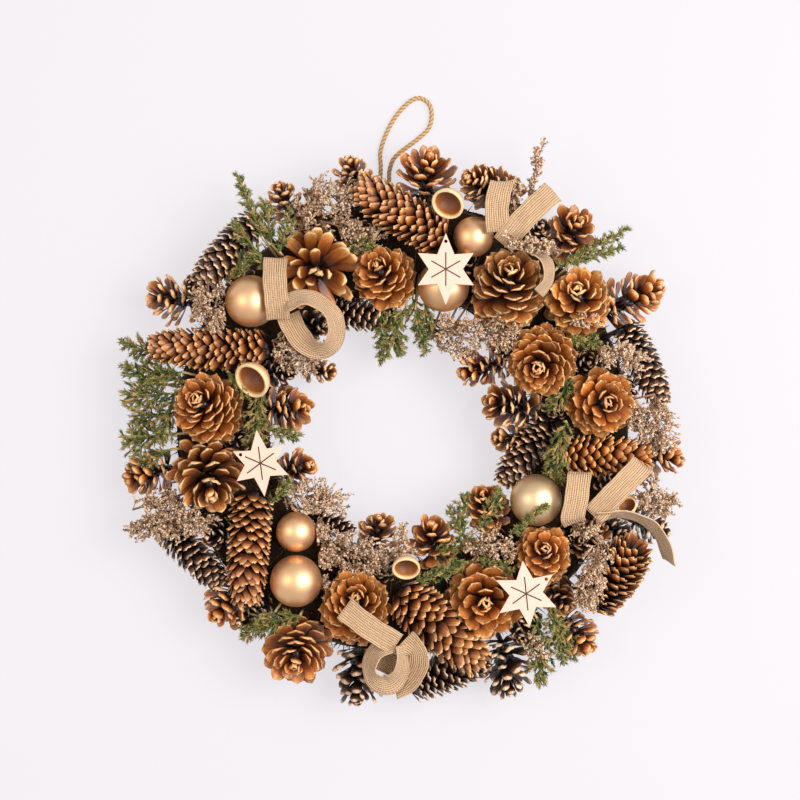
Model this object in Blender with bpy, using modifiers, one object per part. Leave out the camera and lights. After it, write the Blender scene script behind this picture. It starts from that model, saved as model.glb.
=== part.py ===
"""Christmas wreath of cones, baubles, wooden stars, jute bows, juniper and sea lavender on a base ring.

The wreath lies face up: +Z is out of its face, +Y is its top, and the flat back of the ring is at z = 0.
Sizes and places are in millimetres and become metres where a mesh is made.
"""

import math
from dataclasses import dataclass, field

import bmesh
import bpy
import numpy as np
from mathutils import Matrix, Vector

# Driving dimensions, in millimetres
MM = 0.001
RING_INNER = 88.0
RING_OUTER = 148.0
RING_TOP = 21.0
RING_SHOULDER = 10.0
RING_FALL = 9.0
RING_FOOT = 2.0
RING_FOOT_RISE = 3.0
RING_STEPS = 24
SEAT_GAP = 0.3
RIBBON_WIDTH = 15.0
RIBBON_THICKNESS = 0.9
STAR_TIP = 23.0
STAR_NOTCH = 11.2
STAR_THICKNESS = 3.0
STAR_HOLE = 1.1
STAR_HOLE_INSET = 5.5
BAUBLE_LARGE = 16.6
BAUBLE_SMALL = 12.8
CORD_DIAMETER = 3.0
CORD_STEP = 7.5
KNOT_RADIUS = 4.2
KNOT_LENGTH = 13.0
KNOT_PLACE = (-12.0, 152.4, 8.0)

# How finely curved shapes are cut
MERGE = 0.00001
WELD = 0.000005
RIBBON_PARTS = 2
CUP_STEPS = 12
BAUBLE_SIDES = 12
BAUBLE_RINGS = 8
KNOT_SIDES = 10
CORD_PARTS = 16

# Cones and sprigs: share of the length that carries scales, and how unevenly they lean, in radians
CORE_SHARE = 0.86
LEAN_JITTER = 0.08
# Scales and spikes reach this much past the radius, so that neighbours close up before they are pressed back
REACH_SHARE = 1.10
# Each keeps the middle of its axis to itself: its half length less this share of its radius
END_SHARE = 0.7
LEAST_SHARE = 0.1

# Twigs between cones of one node, and the places beside and over the ring where they stay hidden
TWIG_SIDES = 3
TWIG_RADIUS = 1.7
TWIG_SEARCH = 30.0
TWIG_TRIES = 4000
TWIG_INSIDE = RING_INNER - 18.0
TWIG_OUTSIDE = RING_OUTER + 17.0
TWIG_LOW = 4.0
TWIG_TOP = 50.0

# Tapered stems from a cone or sprig to what carries it, and the gap that their tips keep to it
STEM_TIP = 0.4
STEM_GAP = 0.3
STEM_SPARE = 1.2
STEM_LONGEST = 34.0
STEM_TRIES = 5
SEAT_ROUNDS = 3
CAP_RADIUS = 3.4
CAP_SIDES = 8
CAP_SUNK = 1.2

# Places along the hanging loop, from the knot out over the surface and back
CORD_POINTS = [
    (-15.2, 157.0, 8.0),
    (-14.8, 164.0, 4.5),
    (-14.6, 172.0, 2.0),
    (-14.7, 182.0, 1.7),
    (-10.9, 193.5, 1.7),
    (-4.5, 205.0, 1.7),
    (3.8, 214.0, 1.7),
    (10.9, 217.0, 1.7),
    (17.3, 213.0, 1.7),
    (19.0, 205.4, 1.7),
    (17.0, 197.0, 1.7),
    (9.6, 189.7, 1.7),
    (0.5, 183.0, 1.7),
    (-6.0, 177.0, 1.7),
    (-8.8, 169.0, 2.4),
    (-9.0, 162.0, 5.0),
    (-8.9, 157.0, 8.0),
]

# Part of a soft piece's room that keeps its shape, before its outer part is pressed back by a neighbour
FREE_SHARE = 0.88
# Directions tried when the shortest way between two convex cores is looked for
CLOSEST_STEPS = 160
CLOSEST_SHARE = 1e-7
NOTHING = 1e-6
FAR = 1000.0
# Neighbours further off than this past their own reach leave each other alone
NEAR = 4.0
SEED = 20
# A union that isn't one sound body when points this close are one is drawn again, this often at most
SOUND = 0.000002
DRAWS = 30


@dataclass(frozen=True)
class Style:
    """How a stalk carries its scales or spikes. Angles are degrees above the radial plane."""

    columns: int
    row_pitch: float
    core: float
    lean_butt: float
    lean_tip: float
    width: float
    height: float
    fullness: float
    pointed: bool = False
    edged: bool = False
    jitter: float = 0.12


ROSETTE = Style(6, 9.6, 0.30, -8.0, 62.0, 0.86, 0.26, 0.75)
SMALL_CONE = Style(5, 12.5, 0.34, 0.0, 55.0, 0.84, 0.30, 0.75)
LONG_CONE = Style(5, 11.5, 0.50, 32.0, 46.0, 0.70, 0.34, 0.42, edged=True, jitter=0.05)
JUNIPER = Style(4, 4.4, 0.16, 48.0, 58.0, 0.0, 0.0, 0.30, pointed=True, jitter=0.30)
LAVENDER = Style(5, 5.2, 0.50, 10.0, 50.0, 0.0, 0.0, 0.50, pointed=True, jitter=0.25)


@dataclass
class Stalk:
    """A cone or a sprig: a straight axis through its middle, with scales or spikes all round it."""

    style: Style
    x: float
    y: float
    z: float
    turn: float
    rise: float
    length: float
    radius: float

    def axis(self):
        return heading(self.turn, self.rise)

    def middle(self):
        return np.array((self.x, self.y, self.z))

    def core_ends(self):
        """Ends of the part of the axis that no neighbour may cut."""
        half = max(self.length / 2 - END_SHARE * self.radius, LEAST_SHARE * self.length)
        return np.array((self.middle() - half * self.axis(), self.middle() + half * self.axis()))


def sprig(style, start, end, radius):
    """A stalk given by the two ends of its axis."""
    start, end = np.array(start, float), np.array(end, float)
    way = end - start
    length = float(np.linalg.norm(way))
    middle = (start + end) / 2
    turn = math.degrees(math.atan2(way[1], way[0]))
    rise = math.degrees(math.asin(way[2] / length))
    return Stalk(style, *middle, turn, rise, length, radius)


def heading(turn, rise):
    """Unit vector with this azimuth from +X and this angle above the horizontal."""
    turn, rise = math.radians(turn), math.radians(rise)
    flat = math.cos(rise)
    return np.array((flat * math.cos(turn), flat * math.sin(turn), math.sin(rise)))


# Cones, clockwise from the top left of the wreath. A node past the first few holds neighbours on one twig.
# Each cone has its style, x, y, z of its middle, azimuth and rise of its tip, length and radius.
CONES = {
    "cones_01": [
        (ROSETTE, -56, 102, 40, 300, 75, 36, 26),
        (LONG_CONE, -28, 75, 22, 355, 0, 44, 11),
    ],
    "cones_02": [(ROSETTE, -12, 97, 39, 100, 82, 36, 20)],
    "cones_03": [
        (LONG_CONE, 0, 136, 46, 148, 3, 66, 17),
        (SMALL_CONE, -31, 165, 26, 110, 35, 28, 13),
    ],
    "cones_04": [
        (ROSETTE, 15, 159, 28, 85, 40, 34, 19),
        (LONG_CONE, 57, 153, 38, 158, 25, 54, 14.5),
    ],
    "cones_05": [
        (SMALL_CONE, 108, 125, 29, 55, 50, 32, 16),
        (ROSETTE, 67, 89, 41, 80, 72, 42, 25),
        (ROSETTE, 113, 81, 39, 90, 80, 38, 22),
        (ROSETTE, 149, 85, 27, 25, 25, 40, 18),
    ],
    "cones_06": [
        (ROSETTE, 89, 43, 41, 200, 80, 40, 23),
        (SMALL_CONE, 51, 39, 26, 195, 25, 32, 13),
    ],
    "cones_07": [
        (ROSETTE, 127, 16, 38, 0, 80, 34, 22),
        (LONG_CONE, 155, 42, 30, 295, 0, 56, 13),
    ],
    "cones_08": [
        (LONG_CONE, 127, -18, 34, 0, 3, 62, 15),
        (SMALL_CONE, 165, -18, 24, 350, 25, 30, 14),
    ],
    "cones_09": [
        (SMALL_CONE, 70, 14, 28, 165, 35, 32, 16),
        (LONG_CONE, 80, -14, 27, 235, 0, 50, 13.5),
        (SMALL_CONE, 53, -50, 30, 110, 50, 28, 13),
    ],
    "cones_10": [
        (SMALL_CONE, 161, -65, 18, 340, 20, 24, 11),
        (LONG_CONE, 130, -94, 32, 57, 20, 54, 14.5),
        (SMALL_CONE, 112, -133, 24, 310, 30, 28, 14),
    ],
    "cones_11": [
        (ROSETTE, 90, -81, 38, 90, 75, 34, 19),
        (ROSETTE, 52, -109, 38, 270, 85, 36, 25),
        (SMALL_CONE, 66, -157, 25, 278, 15, 40, 17),
    ],
    "cones_12": [
        (LONG_CONE, 22, -126, 42, 319, 3, 68, 19),
        (LONG_CONE, 28, -158, 24, 20, 5, 54, 14.5),
    ],
    "cones_13": [
        (SMALL_CONE, 17, -70, 30, 95, 45, 32, 16),
        (SMALL_CONE, -17, -66, 28, 80, 40, 30, 14),
        (LONG_CONE, -48, -62, 24, 340, 10, 30, 9),
    ],
    "cones_14": [
        (ROSETTE, -30, -114, 40, 90, 85, 40, 24),
        (SMALL_CONE, -32, -159, 24, 265, 15, 42, 16),
        (ROSETTE, -68, -145, 32, 262, 50, 34, 23),
    ],
    "cones_15": [
        (LONG_CONE, -137, -81, 28, 315, 5, 54, 13),
        (SMALL_CONE, -118, -112, 25, 235, 30, 34, 17),
    ],
    "cones_16": [
        (LONG_CONE, -98, -75, 39, 266, 5, 70, 17),
        (ROSETTE, -125, -31, 38, 290, 55, 40, 22),
        (SMALL_CONE, -165, -30, 22, 200, 30, 28, 14),
    ],
    "cones_17": [
        (SMALL_CONE, -67, -25, 28, 20, 35, 28, 14),
        (SMALL_CONE, -72, 12, 28, 0, 30, 32, 17),
        (SMALL_CONE, -54, 37, 22, 350, 30, 22, 9),
    ],
    "cones_18": [
        (ROSETTE, -125, 13, 40, 0, 85, 38, 23),
        (LONG_CONE, -123, 51, 37, 178, 0, 76, 15),
    ],
    "cones_19": [
        (ROSETTE, -151, 83, 26, 175, 20, 36, 17),
        (LONG_CONE, -111, 115, 36, 227, 0, 56, 14),
        (SMALL_CONE, -76, 146, 28, 115, 35, 26, 11),
    ],
}

# Nodes of sea lavender: start, end and radius of each bunch
LAVENDER_BUNCHES = {
    "sea_lavender_01": [((-60, 150, 36), (-42, 148, 40), 13), ((-50, 132, 40), (-34, 127, 40), 9)],
    "sea_lavender_02": [((82, 139, 34), (87, 180, 44), 5)],
    "sea_lavender_03": [((34, 62, 40), (64, 60, 42), 12)],
    "sea_lavender_04": [((124, 50, 52), (142, 44, 50), 11)],
    "sea_lavender_05": [((164, 18, 44), (168, -6, 40), 12)],
    "sea_lavender_06": [((156, -46, 42), (170, -48, 38), 12)],
    "sea_lavender_07": [((124, -72, 54), (118, -104, 52), 11)],
    "sea_lavender_08": [((-48, -76, 38), (-24, -84, 40), 13)],
    "sea_lavender_09": [((-74, -42, 40), (-50, -46, 38), 12)],
    "sea_lavender_10": [((-172, -62, 36), (-128, -60, 48), 11)],
    "sea_lavender_11": [((-124, 90, 46), (-123, 74, 48), 12)],
    "sea_lavender_12": [((-80, 54, 42), (-62, 45, 42), 13)],
    "sea_lavender_13": [((42, -72, 40), (62, -76, 42), 11)],
}

# Nodes of juniper: start, end and radius of each sprig
JUNIPER_SPRIGS = {
    "juniper_01": [((-92, 124, 46), (-108, 164, 40), 7)],
    "juniper_02": [((100, 104, 48), (144, 128, 42), 7)],
    "juniper_03": [((2, 78, 30), (-14, 46, 24), 7)],
    "juniper_04": [((-150, 22, 34), (-174, 20, 26), 11), ((-150, -4, 34), (-174, -8, 26), 11)],
    "juniper_05": [((-92, 22, 40), (-94, -8, 44), 9)],
    "juniper_06": [((-66, -120, 36), (-92, -128, 38), 8)],
    "juniper_07": [((92, -122, 38), (98, -166, 28), 9)],
    "juniper_08": [((37, -66, 38), (34, -40, 36), 6)],
    "juniper_09": [((104, 4, 48), (94, -26, 48), 8)],
}

BAUBLES = {
    "bauble_large_1": (-97, 81, 42, BAUBLE_LARGE),
    "bauble_large_2": (26, 91, 38, BAUBLE_LARGE),
    "bauble_large_3": (-68.5, -98, 40, BAUBLE_LARGE),
    "bauble_large_4": (85, -46, 42, BAUBLE_LARGE),
    "bauble_small_1": (45, 122, 44, BAUBLE_SMALL),
    "bauble_small_2": (-68.5, -66.6, 38, BAUBLE_SMALL),
}

# Wooden stars: middle, turn of the first tip, index of the tip with the hole
STARS = {
    "wooden_star_1": (27, 100.5, 56.4, 90, 0),
    "wooden_star_2": (-91, -22, 56, 97, 1),
    "wooden_star_3": (77.5, -104, 60, 96, 5),
}

# Seed cups: middle of the rim, azimuth and rise of the opening, radius of the rim
SEED_CUPS = {
    "seed_cup_1": (28, 141, 62, 240, 62, 10.5),
    "seed_cup_2": (-96, 30, 54, 225, 60, 12.0),
    "seed_cup_3": (2, -89, 54, 270, 65, 9.0),
}

# Jute bows: strips, each a list of points with the direction of the ribbon's width
BOWS = {
    "jute_bow_1": [
        [
            ((-81, 108, 50), (1, 0, 0)),
            ((-81, 96, 58), (1, 0, -0.1)),
            ((-80, 82, 60), (1, 0, -0.2)),
            ((-76, 67, 58), (1, -0.2, -0.2)),
            ((-69, 54, 56), (0.8, -0.6, -0.4)),
            ((-56, 47, 58), (0, -1, -0.5)),
            ((-44, 53, 62), (-0.8, -0.6, 0.5)),
            ((-42, 67, 65), (-1, 0.2, 0.6)),
            ((-52, 78, 66), (-0.3, 1, 0.6)),
            ((-64, 76, 64), (0.4, 1, 0.5)),
        ],
    ],
    "jute_bow_2": [
        [
            ((64, 156, 54), (1, 0.1, 0)),
            ((62, 154, 60), (1, 0.1, 0)),
            ((59, 140, 62), (1, 0.2, 0)),
            ((60, 124, 58), (1, 0.2, 0)),
        ],
        [
            ((63, 116, 58), (0.8, -0.6, 0)),
            ((76, 132, 61), (0.75, -0.65, 0)),
            ((93, 148, 60), (0.7, -0.7, 0)),
            ((95, 149, 53), (0.7, -0.7, 0)),
        ],
        [
            ((66, 119, 57), (0.2, 1, -0.2)),
            ((80, 112, 62), (0.5, 1, -0.3)),
            ((91, 103, 66), (1, 0.5, -0.4)),
            ((88, 92, 66), (1, -0.1, -0.6)),
            ((83, 86, 66), (0.8, -0.5, -0.6)),
        ],
    ],
    "jute_bow_3": [
        [
            ((112, -28, 53), (1, 0.1, 0)),
            ((111, -31, 58), (1, 0.15, 0)),
            ((109, -45, 61), (1, 0.1, 0)),
            ((113, -56, 58), (0.9, 0.4, 0)),
            ((124, -56, 55), (0.3, 1, 0.2)),
        ],
        [
            ((151, -22, 52), (0.8, -0.6, 0)),
            ((149, -25, 58), (0.8, -0.6, 0)),
            ((136, -38, 61), (0.75, -0.65, 0)),
            ((120, -55, 57), (0.7, -0.7, 0)),
        ],
        [
            ((122, -56, 56), (0.1, 1, 0.3)),
            ((140, -54, 56), (0.2, 1, 0.5)),
            ((156, -60, 52), (0.6, 0.8, 0.6)),
            ((166, -72, 45), (0.8, 0.3, 0.7)),
            ((171, -86, 38), (0.8, -0.1, 0.7)),
        ],
    ],
    "jute_bow_4": [
        [
            ((-37, -113, 62), (0.5, 0.85, 0)),
            ((-21, -125, 65), (0.55, 0.8, 0)),
            ((-4, -136, 60), (0.5, 0.85, 0)),
        ],
        [
            ((-7, -133, 59), (0.8, -0.5, -0.3)),
            ((-19, -142, 58), (0.7, -0.6, -0.5)),
            ((-25, -155, 54), (1, 0, -0.7)),
            ((-18, -167, 50), (0.5, 0.8, -0.5)),
            ((-6, -164, 52), (-0.6, 0.8, -0.2)),
            ((0, -152, 57), (-1, 0.2, 0.1)),
            ((0, -135, 62), (-1, 0, 0)),
        ],
        [
            ((0, -133, 60), (1, 0.4, 0)),
            ((10, -141, 60), (0.9, 0.3, 0.3)),
            ((13, -153, 54), (0.9, -0.2, 0.5)),
            ((6, -163, 46), (0.6, -0.8, 0.5)),
        ],
    ],
}


def closest_direction(first, second):
    """Unit vector from the first convex set of corners to the second, along their shortest way."""
    gap = second.mean(axis=0) - first.mean(axis=0)
    for _ in range(CLOSEST_STEPS):
        corner = second[np.argmin(second @ gap)] - first[np.argmax(first @ gap)]
        step = gap - corner
        reach = float(step @ step)
        if reach < NOTHING**2:
            break
        share = min(max(float(gap @ step) / reach, 0.0), 1.0)
        if share < CLOSEST_SHARE:
            break
        gap = gap - share * step
    return gap / np.linalg.norm(gap)


@dataclass
class Claim:
    """The convex core of a piece, with the solid skin round it or the soft room that it asks for."""

    corners: np.ndarray
    skin: float
    room: float
    owner: str
    normals: list = field(default_factory=list)
    limits: list = field(default_factory=list)
    beside: list = field(default_factory=list)
    stems: list = field(default_factory=list)

    def reach(self):
        spread = np.linalg.norm(self.corners - self.corners.mean(axis=0), axis=1).max()
        return spread + self.skin + self.room * 1.3


def ring_profile():
    """Half section of the base ring, from the top down its outer side and back up its inner side."""
    return (
        (RING_OUTER - RING_SHOULDER, RING_TOP),
        (RING_OUTER, RING_TOP - RING_FALL),
        (RING_OUTER, RING_FOOT_RISE),
        (RING_OUTER - RING_FOOT, 0),
        (RING_INNER + RING_FOOT, 0),
        (RING_INNER, RING_FOOT_RISE),
        (RING_INNER, RING_TOP - RING_FALL),
        (RING_INNER + RING_SHOULDER, RING_TOP),
    )


def ring_claims():
    """The base ring as convex wedges, one step of its turning each."""
    claims = []
    step = 2 * math.pi / RING_STEPS
    for first in range(RING_STEPS):
        corners = [
            (r * math.cos(a * step), r * math.sin(a * step), z)
            for a in (first, first + 1)
            for r, z in ring_profile()
        ]
        claims.append(Claim(np.array(corners), 0.0, 0.0, "base_ring"))
    return claims


def bauble_claims(name, x, y, z, radius):
    top, bottom = cap_ends(z, radius)
    cap = np.array([(x, y, z + top), (x, y, z + bottom + CAP_RADIUS / 2)], float)
    ball = np.array([(x, y, z)], float)
    return [Claim(ball, radius, 0.0, name), Claim(cap, CAP_RADIUS + SEAT_GAP, 0.0, name)]


def star_frame(turn):
    turn = math.radians(turn)
    return np.array((math.cos(turn), math.sin(turn), 0)), np.array((-math.sin(turn), math.cos(turn), 0))


def star_outline():
    """Corners of the star in its own plane, tips and notches in turn, the first tip at angle 0."""
    corners = []
    for index in range(12):
        radius = STAR_NOTCH if index % 2 else STAR_TIP
        angle = index * math.pi / 6
        corners.append((radius * math.cos(angle), radius * math.sin(angle)))
    return corners


def star_claim(name, x, y, z, turn, inner=False):
    """The plate between a star's tips or, where it is carried, between its notches."""
    along, across = star_frame(turn)
    middle = np.array((x, y, z))
    corners = [
        middle + u * along + v * across + np.array((0, 0, side * STAR_THICKNESS / 2))
        for u, v in star_outline()[int(inner) :: 2]
        for side in (-1, 1)
    ]
    return Claim(np.array(corners), 0.0, 0.0, name)


def cup_profile(radius):
    """Inner wall from the bottom up to the rim, then the outer wall down, with the rim at height 0."""
    wall = 0.17 * radius
    depth = 0.95 * radius
    inner = [(0.0, wall - depth)]
    outer = []
    for index in range(1, 4):
        angle = index * math.pi / 6
        inner.append(((radius - wall) * math.sin(angle), (wall - depth) * math.cos(angle)))
    for index in range(3, 0, -1):
        angle = index * math.pi / 6
        outer.append((radius * math.sin(angle), -depth * math.cos(angle)))
    return inner + outer + [(0.0, -depth)]


def turned_frame(axis):
    """Two directions square to the axis."""
    helper = np.array((0.0, 0.0, 1.0)) if abs(axis[2]) < 0.9 else np.array((0.0, 1.0, 0.0))
    side = np.cross(helper, axis)
    side /= np.linalg.norm(side)
    return side, np.cross(axis, side)


def cup_claim(name, x, y, z, turn, rise, radius):
    axis = heading(turn, rise)
    side, other = turned_frame(axis)
    middle = np.array((x, y, z))
    corners = []
    for r, h in cup_profile(radius)[3:]:
        for index in range(12):
            angle = index * math.pi / 6
            corners.append(middle + h * axis + r * (math.cos(angle) * side + math.sin(angle) * other))
    return Claim(np.array(corners), 0.3, 0.0, name)


def smooth_route(points, per_span):
    """Points on a Catmull-Rom curve through the given points."""
    points = np.array(points, float)
    padded = np.vstack((2 * points[0] - points[1], points, 2 * points[-1] - points[-2]))
    route = []
    for index in range(len(points) - 1):
        a, b, c, d = padded[index : index + 4]
        for part in range(per_span):
            t = part / per_span
            route.append(
                0.5 * (2 * b + (c - a) * t + (2 * a - 5 * b + 4 * c - d) * t**2)
                + 0.5 * (3 * b - a - 3 * c + d) * t**3
            )
    route.append(points[-1])
    return np.array(route)


def strip_edges(strip):
    """The two edges of a ribbon strip, as lists of points."""
    middle = smooth_route([point for point, _ in strip], RIBBON_PARTS)
    width = smooth_route([direction for _, direction in strip], RIBBON_PARTS)
    way = np.gradient(middle, axis=0)
    way /= np.linalg.norm(way, axis=1)[:, None]
    width -= (width * way).sum(axis=1)[:, None] * way
    width /= np.linalg.norm(width, axis=1)[:, None]
    return middle - width * RIBBON_WIDTH / 2, middle + width * RIBBON_WIDTH / 2


def bow_claims(name, strips):
    claims = []
    for strip in strips:
        left, right = strip_edges(strip)
        for index in range(len(left) - 1):
            corners = np.array((left[index], right[index], left[index + 1], right[index + 1]))
            claims.append(Claim(corners, RIBBON_THICKNESS / 2 + 0.2, 0.0, name))
    return claims


def cord_route():
    """Points along the hanging loop, a few diameters apart."""
    fine = smooth_route(CORD_POINTS, CORD_PARTS)
    reach = np.concatenate(((0,), np.cumsum(np.linalg.norm(np.diff(fine, axis=0), axis=1))))
    count = round(reach[-1] / CORD_STEP)
    wanted = np.linspace(0, reach[-1], count + 1)
    return np.column_stack([np.interp(wanted, reach, fine[:, axis]) for axis in range(3)])


def cord_claims():
    route = cord_route()
    return [
        Claim(route[index : index + 2], CORD_DIAMETER / 2 + 0.2, 0.0, "jute_hanging_loop")
        for index in range(len(route) - 1)
    ]


def share_out(claims):
    """Gives every soft claim the planes that keep it clear of each neighbour."""
    for claim in claims:
        if not claim.room:
            continue
        for other in claims:
            apart = np.linalg.norm(other.corners.mean(axis=0) - claim.corners.mean(axis=0))
            if other is claim or apart > claim.reach() + other.reach() + NEAR:
                continue
            normal = closest_direction(claim.corners, other.corners)
            own_face = (claim.corners @ normal).max()
            clear = (other.corners @ normal).min() - other.skin - own_face
            part = claim.room / (claim.room + other.room)
            claim.beside.append(other.owner)
            claim.normals.append(normal)
            claim.limits.append(own_face + clear * part - SEAT_GAP * part)


def press_back(points, claim):
    """Moves points of a soft piece into its own room, each along its way out from the piece's axis."""
    start, end = claim.corners
    way = end - start
    share = np.clip((points - start) @ way / (way @ way), 0, 1)
    nearest = start + share[:, None] * way
    out = points - nearest
    reach = np.linalg.norm(out, axis=1)
    reach = np.maximum(reach, NOTHING)
    out /= reach[:, None]
    normals = np.array(claim.normals)
    rate = out @ normals.T
    room = np.array(claim.limits) - nearest @ normals.T
    limit = np.where(rate > NOTHING, room / np.maximum(rate, NOTHING), FAR).min(axis=1)
    free = FREE_SHARE * limit
    rest = limit - free
    over = np.maximum(reach - free, 0)
    pressed = np.minimum(reach, free) + rest * over / (over + rest)
    return nearest + out * pressed[:, None]


def scale_place(style, radius, share, length):
    """Height and radius of the core at this share of its length, and a scale's reach and lean there."""
    height = (CORE_SHARE * share - 0.5) * length
    core = radius * style.core * math.sin(math.pi * (0.18 + 0.72 * share)) ** 0.7
    full = REACH_SHARE * radius * math.sin(math.pi * (0.22 + 0.74 * share)) ** style.fullness
    lean = math.radians(style.lean_butt + (style.lean_tip - style.lean_butt) * share)
    reach = max(full - core, 0.2 * radius) / max(math.cos(lean), 0.7)
    return height, core, reach, lean


def stalk_shape(stalk, rng):
    """A stalk in its own frame, its axis on +Z and its middle at the origin, in millimetres."""
    style = stalk.style
    rows = max(3, round(stalk.length / style.row_pitch))
    turn = math.pi / style.columns
    shape = bmesh.new()
    rings = []
    for level in range(rows + 2):
        height, core, _, _ = scale_place(style, stalk.radius, level / (rows + 1), stalk.length)
        angles = [(2 * column + level % 2) * turn for column in range(style.columns)]
        rings.append([shape.verts.new((core * math.cos(a), core * math.sin(a), height)) for a in angles])
    roots = []
    for level in range(1, rows + 1):
        for column in range(style.columns):
            after = (column + 1) % style.columns
            middle = after if level % 2 else column
            corners = (
                rings[level - 1][middle],
                rings[level][after],
                rings[level + 1][middle],
                rings[level][column],
            )
            roots.append(shape.faces.new(corners))
    for column in range(style.columns):
        after = (column + 1) % style.columns
        shape.faces.new((rings[0][column], rings[0][after], rings[1][column]))
        between = after if (rows + 1) % 2 else column
        shape.faces.new((rings[-1][column], rings[-2][between], rings[-1][after]))
    shape.faces.new(rings[0][::-1])
    shape.faces.new(rings[-1])
    bmesh.ops.recalc_face_normals(shape, faces=shape.faces)
    if style.pointed:
        raise_spikes(shape, roots, stalk, rng)
    else:
        raise_scales(shape, roots, stalk, rng)
    return shape


def scale_frame(point, stalk, rng):
    """Where a scale or spike that is rooted round this point of the core ends, and its directions there."""
    style = stalk.style
    share = (point.z / stalk.length + 0.5) / CORE_SHARE
    height, core, reach, lean = scale_place(style, stalk.radius, share, stalk.length)
    reach *= 1 + style.jitter * rng.uniform(-1, 1)
    lean += LEAN_JITTER * rng.uniform(-1, 1)
    angle = math.atan2(point.y, point.x)
    radial = Vector((math.cos(angle), math.sin(angle), 0))
    across = Vector((-math.sin(angle), math.cos(angle), 0))
    axis = Vector((0, 0, 1))
    out = math.cos(lean) * radial + math.sin(lean) * axis
    up = math.cos(lean) * axis - math.sin(lean) * radial
    return core * radial + height * axis + reach * out, across, up, angle


def raise_scales(shape, roots, stalk, rng):
    """Draws each root face out into a scale that ends in a flat diamond, or in an edge."""
    style = stalk.style
    edges = {}
    pitch = max(vert.co.z for vert in roots[0].verts) - roots[0].calc_center_median().z
    for head in bmesh.ops.extrude_discrete_faces(shape, faces=roots)["faces"]:
        middle = head.calc_center_median()
        end, across, up, angle = scale_frame(middle, stalk, rng)
        half_width = style.width * math.pi * math.hypot(end.x, end.y) / style.columns
        half_height = style.height * stalk.radius / 2
        corners = []
        for vert in head.verts:
            round_way = math.remainder(math.atan2(vert.co.y, vert.co.x) - angle, 2 * math.pi)
            side = round_way * style.columns / math.pi
            rise = (vert.co.z - middle.z) / pitch
            vert.co = end + side * half_width * across + rise * half_height * up
            corners.append((side, rise, vert))
        right = max(corners, key=lambda corner: corner[0])[2]
        left = min(corners, key=lambda corner: corner[0])[2]
        edges[max(corners, key=lambda corner: corner[1])[2]] = left
        edges[min(corners, key=lambda corner: corner[1])[2]] = right
    if style.edged:
        bmesh.ops.weld_verts(shape, targetmap=edges)


def raise_spikes(shape, roots, stalk, rng):
    """Draws the middle of each root face out into a spike."""
    for tip in bmesh.ops.poke(shape, faces=roots)["verts"]:
        tip.co = scale_frame(tip.co, stalk, rng)[0]


def to_place(shape, stalk, claim, rng):
    """Turns a stalk onto its axis, moves it to its place and presses it into its room."""
    axis = stalk.axis()
    side, other = turned_frame(axis)
    spin = rng.uniform(0, 2 * math.pi)
    first = math.cos(spin) * side + math.sin(spin) * other
    second = math.cos(spin) * other - math.sin(spin) * side
    own = np.array([vert.co for vert in shape.verts])
    placed = stalk.middle() + own @ np.array((first, second, axis))
    placed = press_back(placed, claim)
    if stalk.style.pointed:
        stretch_spikes(placed, claim)
    for vert, point in zip(shape.verts, placed):
        vert.co = Vector(point - stalk.middle()) * MM
    bmesh.ops.triangulate(shape, faces=shape.faces, quad_method="SHORT_EDGE")


def stretch_spikes(points, claim):
    """Draws the spike nearest to each stem's tip out to it."""
    start, end = claim.corners
    way = end - start
    share = np.clip((points - start) @ way / (way @ way), 0, 1)
    out = np.linalg.norm(points - start - share[:, None] * way, axis=1)
    spikes = list(np.argsort(out)[-len(points) // 2 :])
    for _, tip in claim.stems:
        nearest = min(spikes, key=lambda index: np.linalg.norm(points[index] - tip))
        points[nearest] = tip
        spikes.remove(nearest)


def add_object(name, data, collection, material, place=(0, 0, 0)):
    obj = bpy.data.objects.new(name, data)
    obj.location = Vector(place) * MM
    data.materials.append(material)
    collection.objects.link(obj)
    return obj


def mesh_from(shape, name):
    mesh = bpy.data.meshes.new(name)
    shape.to_mesh(mesh)
    shape.free()
    return mesh


def twig_shape(start, end, tip, past):
    """A straight piece of twig with this radius at its tip, and this much longer than its ends."""
    start, end = Vector(start) * MM, Vector(end) * MM
    end += (end - start).normalized() * past * MM
    way = end - start
    shape = bmesh.new()
    turn = way.to_track_quat("Z", "Y").to_matrix().to_4x4()
    place = Matrix.Translation((start + end) / 2) @ turn
    bmesh.ops.create_cone(
        shape,
        cap_ends=True,
        segments=TWIG_SIDES,
        radius1=TWIG_RADIUS * MM,
        radius2=tip * MM,
        depth=way.length,
        matrix=place,
    )
    return shape


def nearest_points(first, second):
    """The ends of the shortest way between two straight axes, each given by its two ends."""
    shares = np.linspace(0, 1, 21)[:, None]
    one = first[0] + shares * (first[1] - first[0])
    two = second[0] + shares * (second[1] - second[0])
    apart = np.linalg.norm(one[:, None] - two[None], axis=2)
    a, b = np.unravel_index(np.argmin(apart), apart.shape)
    return one[a], two[b]


def spare_room(claim, points, partner):
    """How far each point lies inside a claim's room, leaving out its faces towards its partner."""
    spare = np.full(len(points), FAR)
    for owner, normal, limit in zip(claim.beside, claim.normals, claim.limits):
        if owner != partner:
            spare = np.minimum(spare, limit - points @ normal)
    return spare


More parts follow.
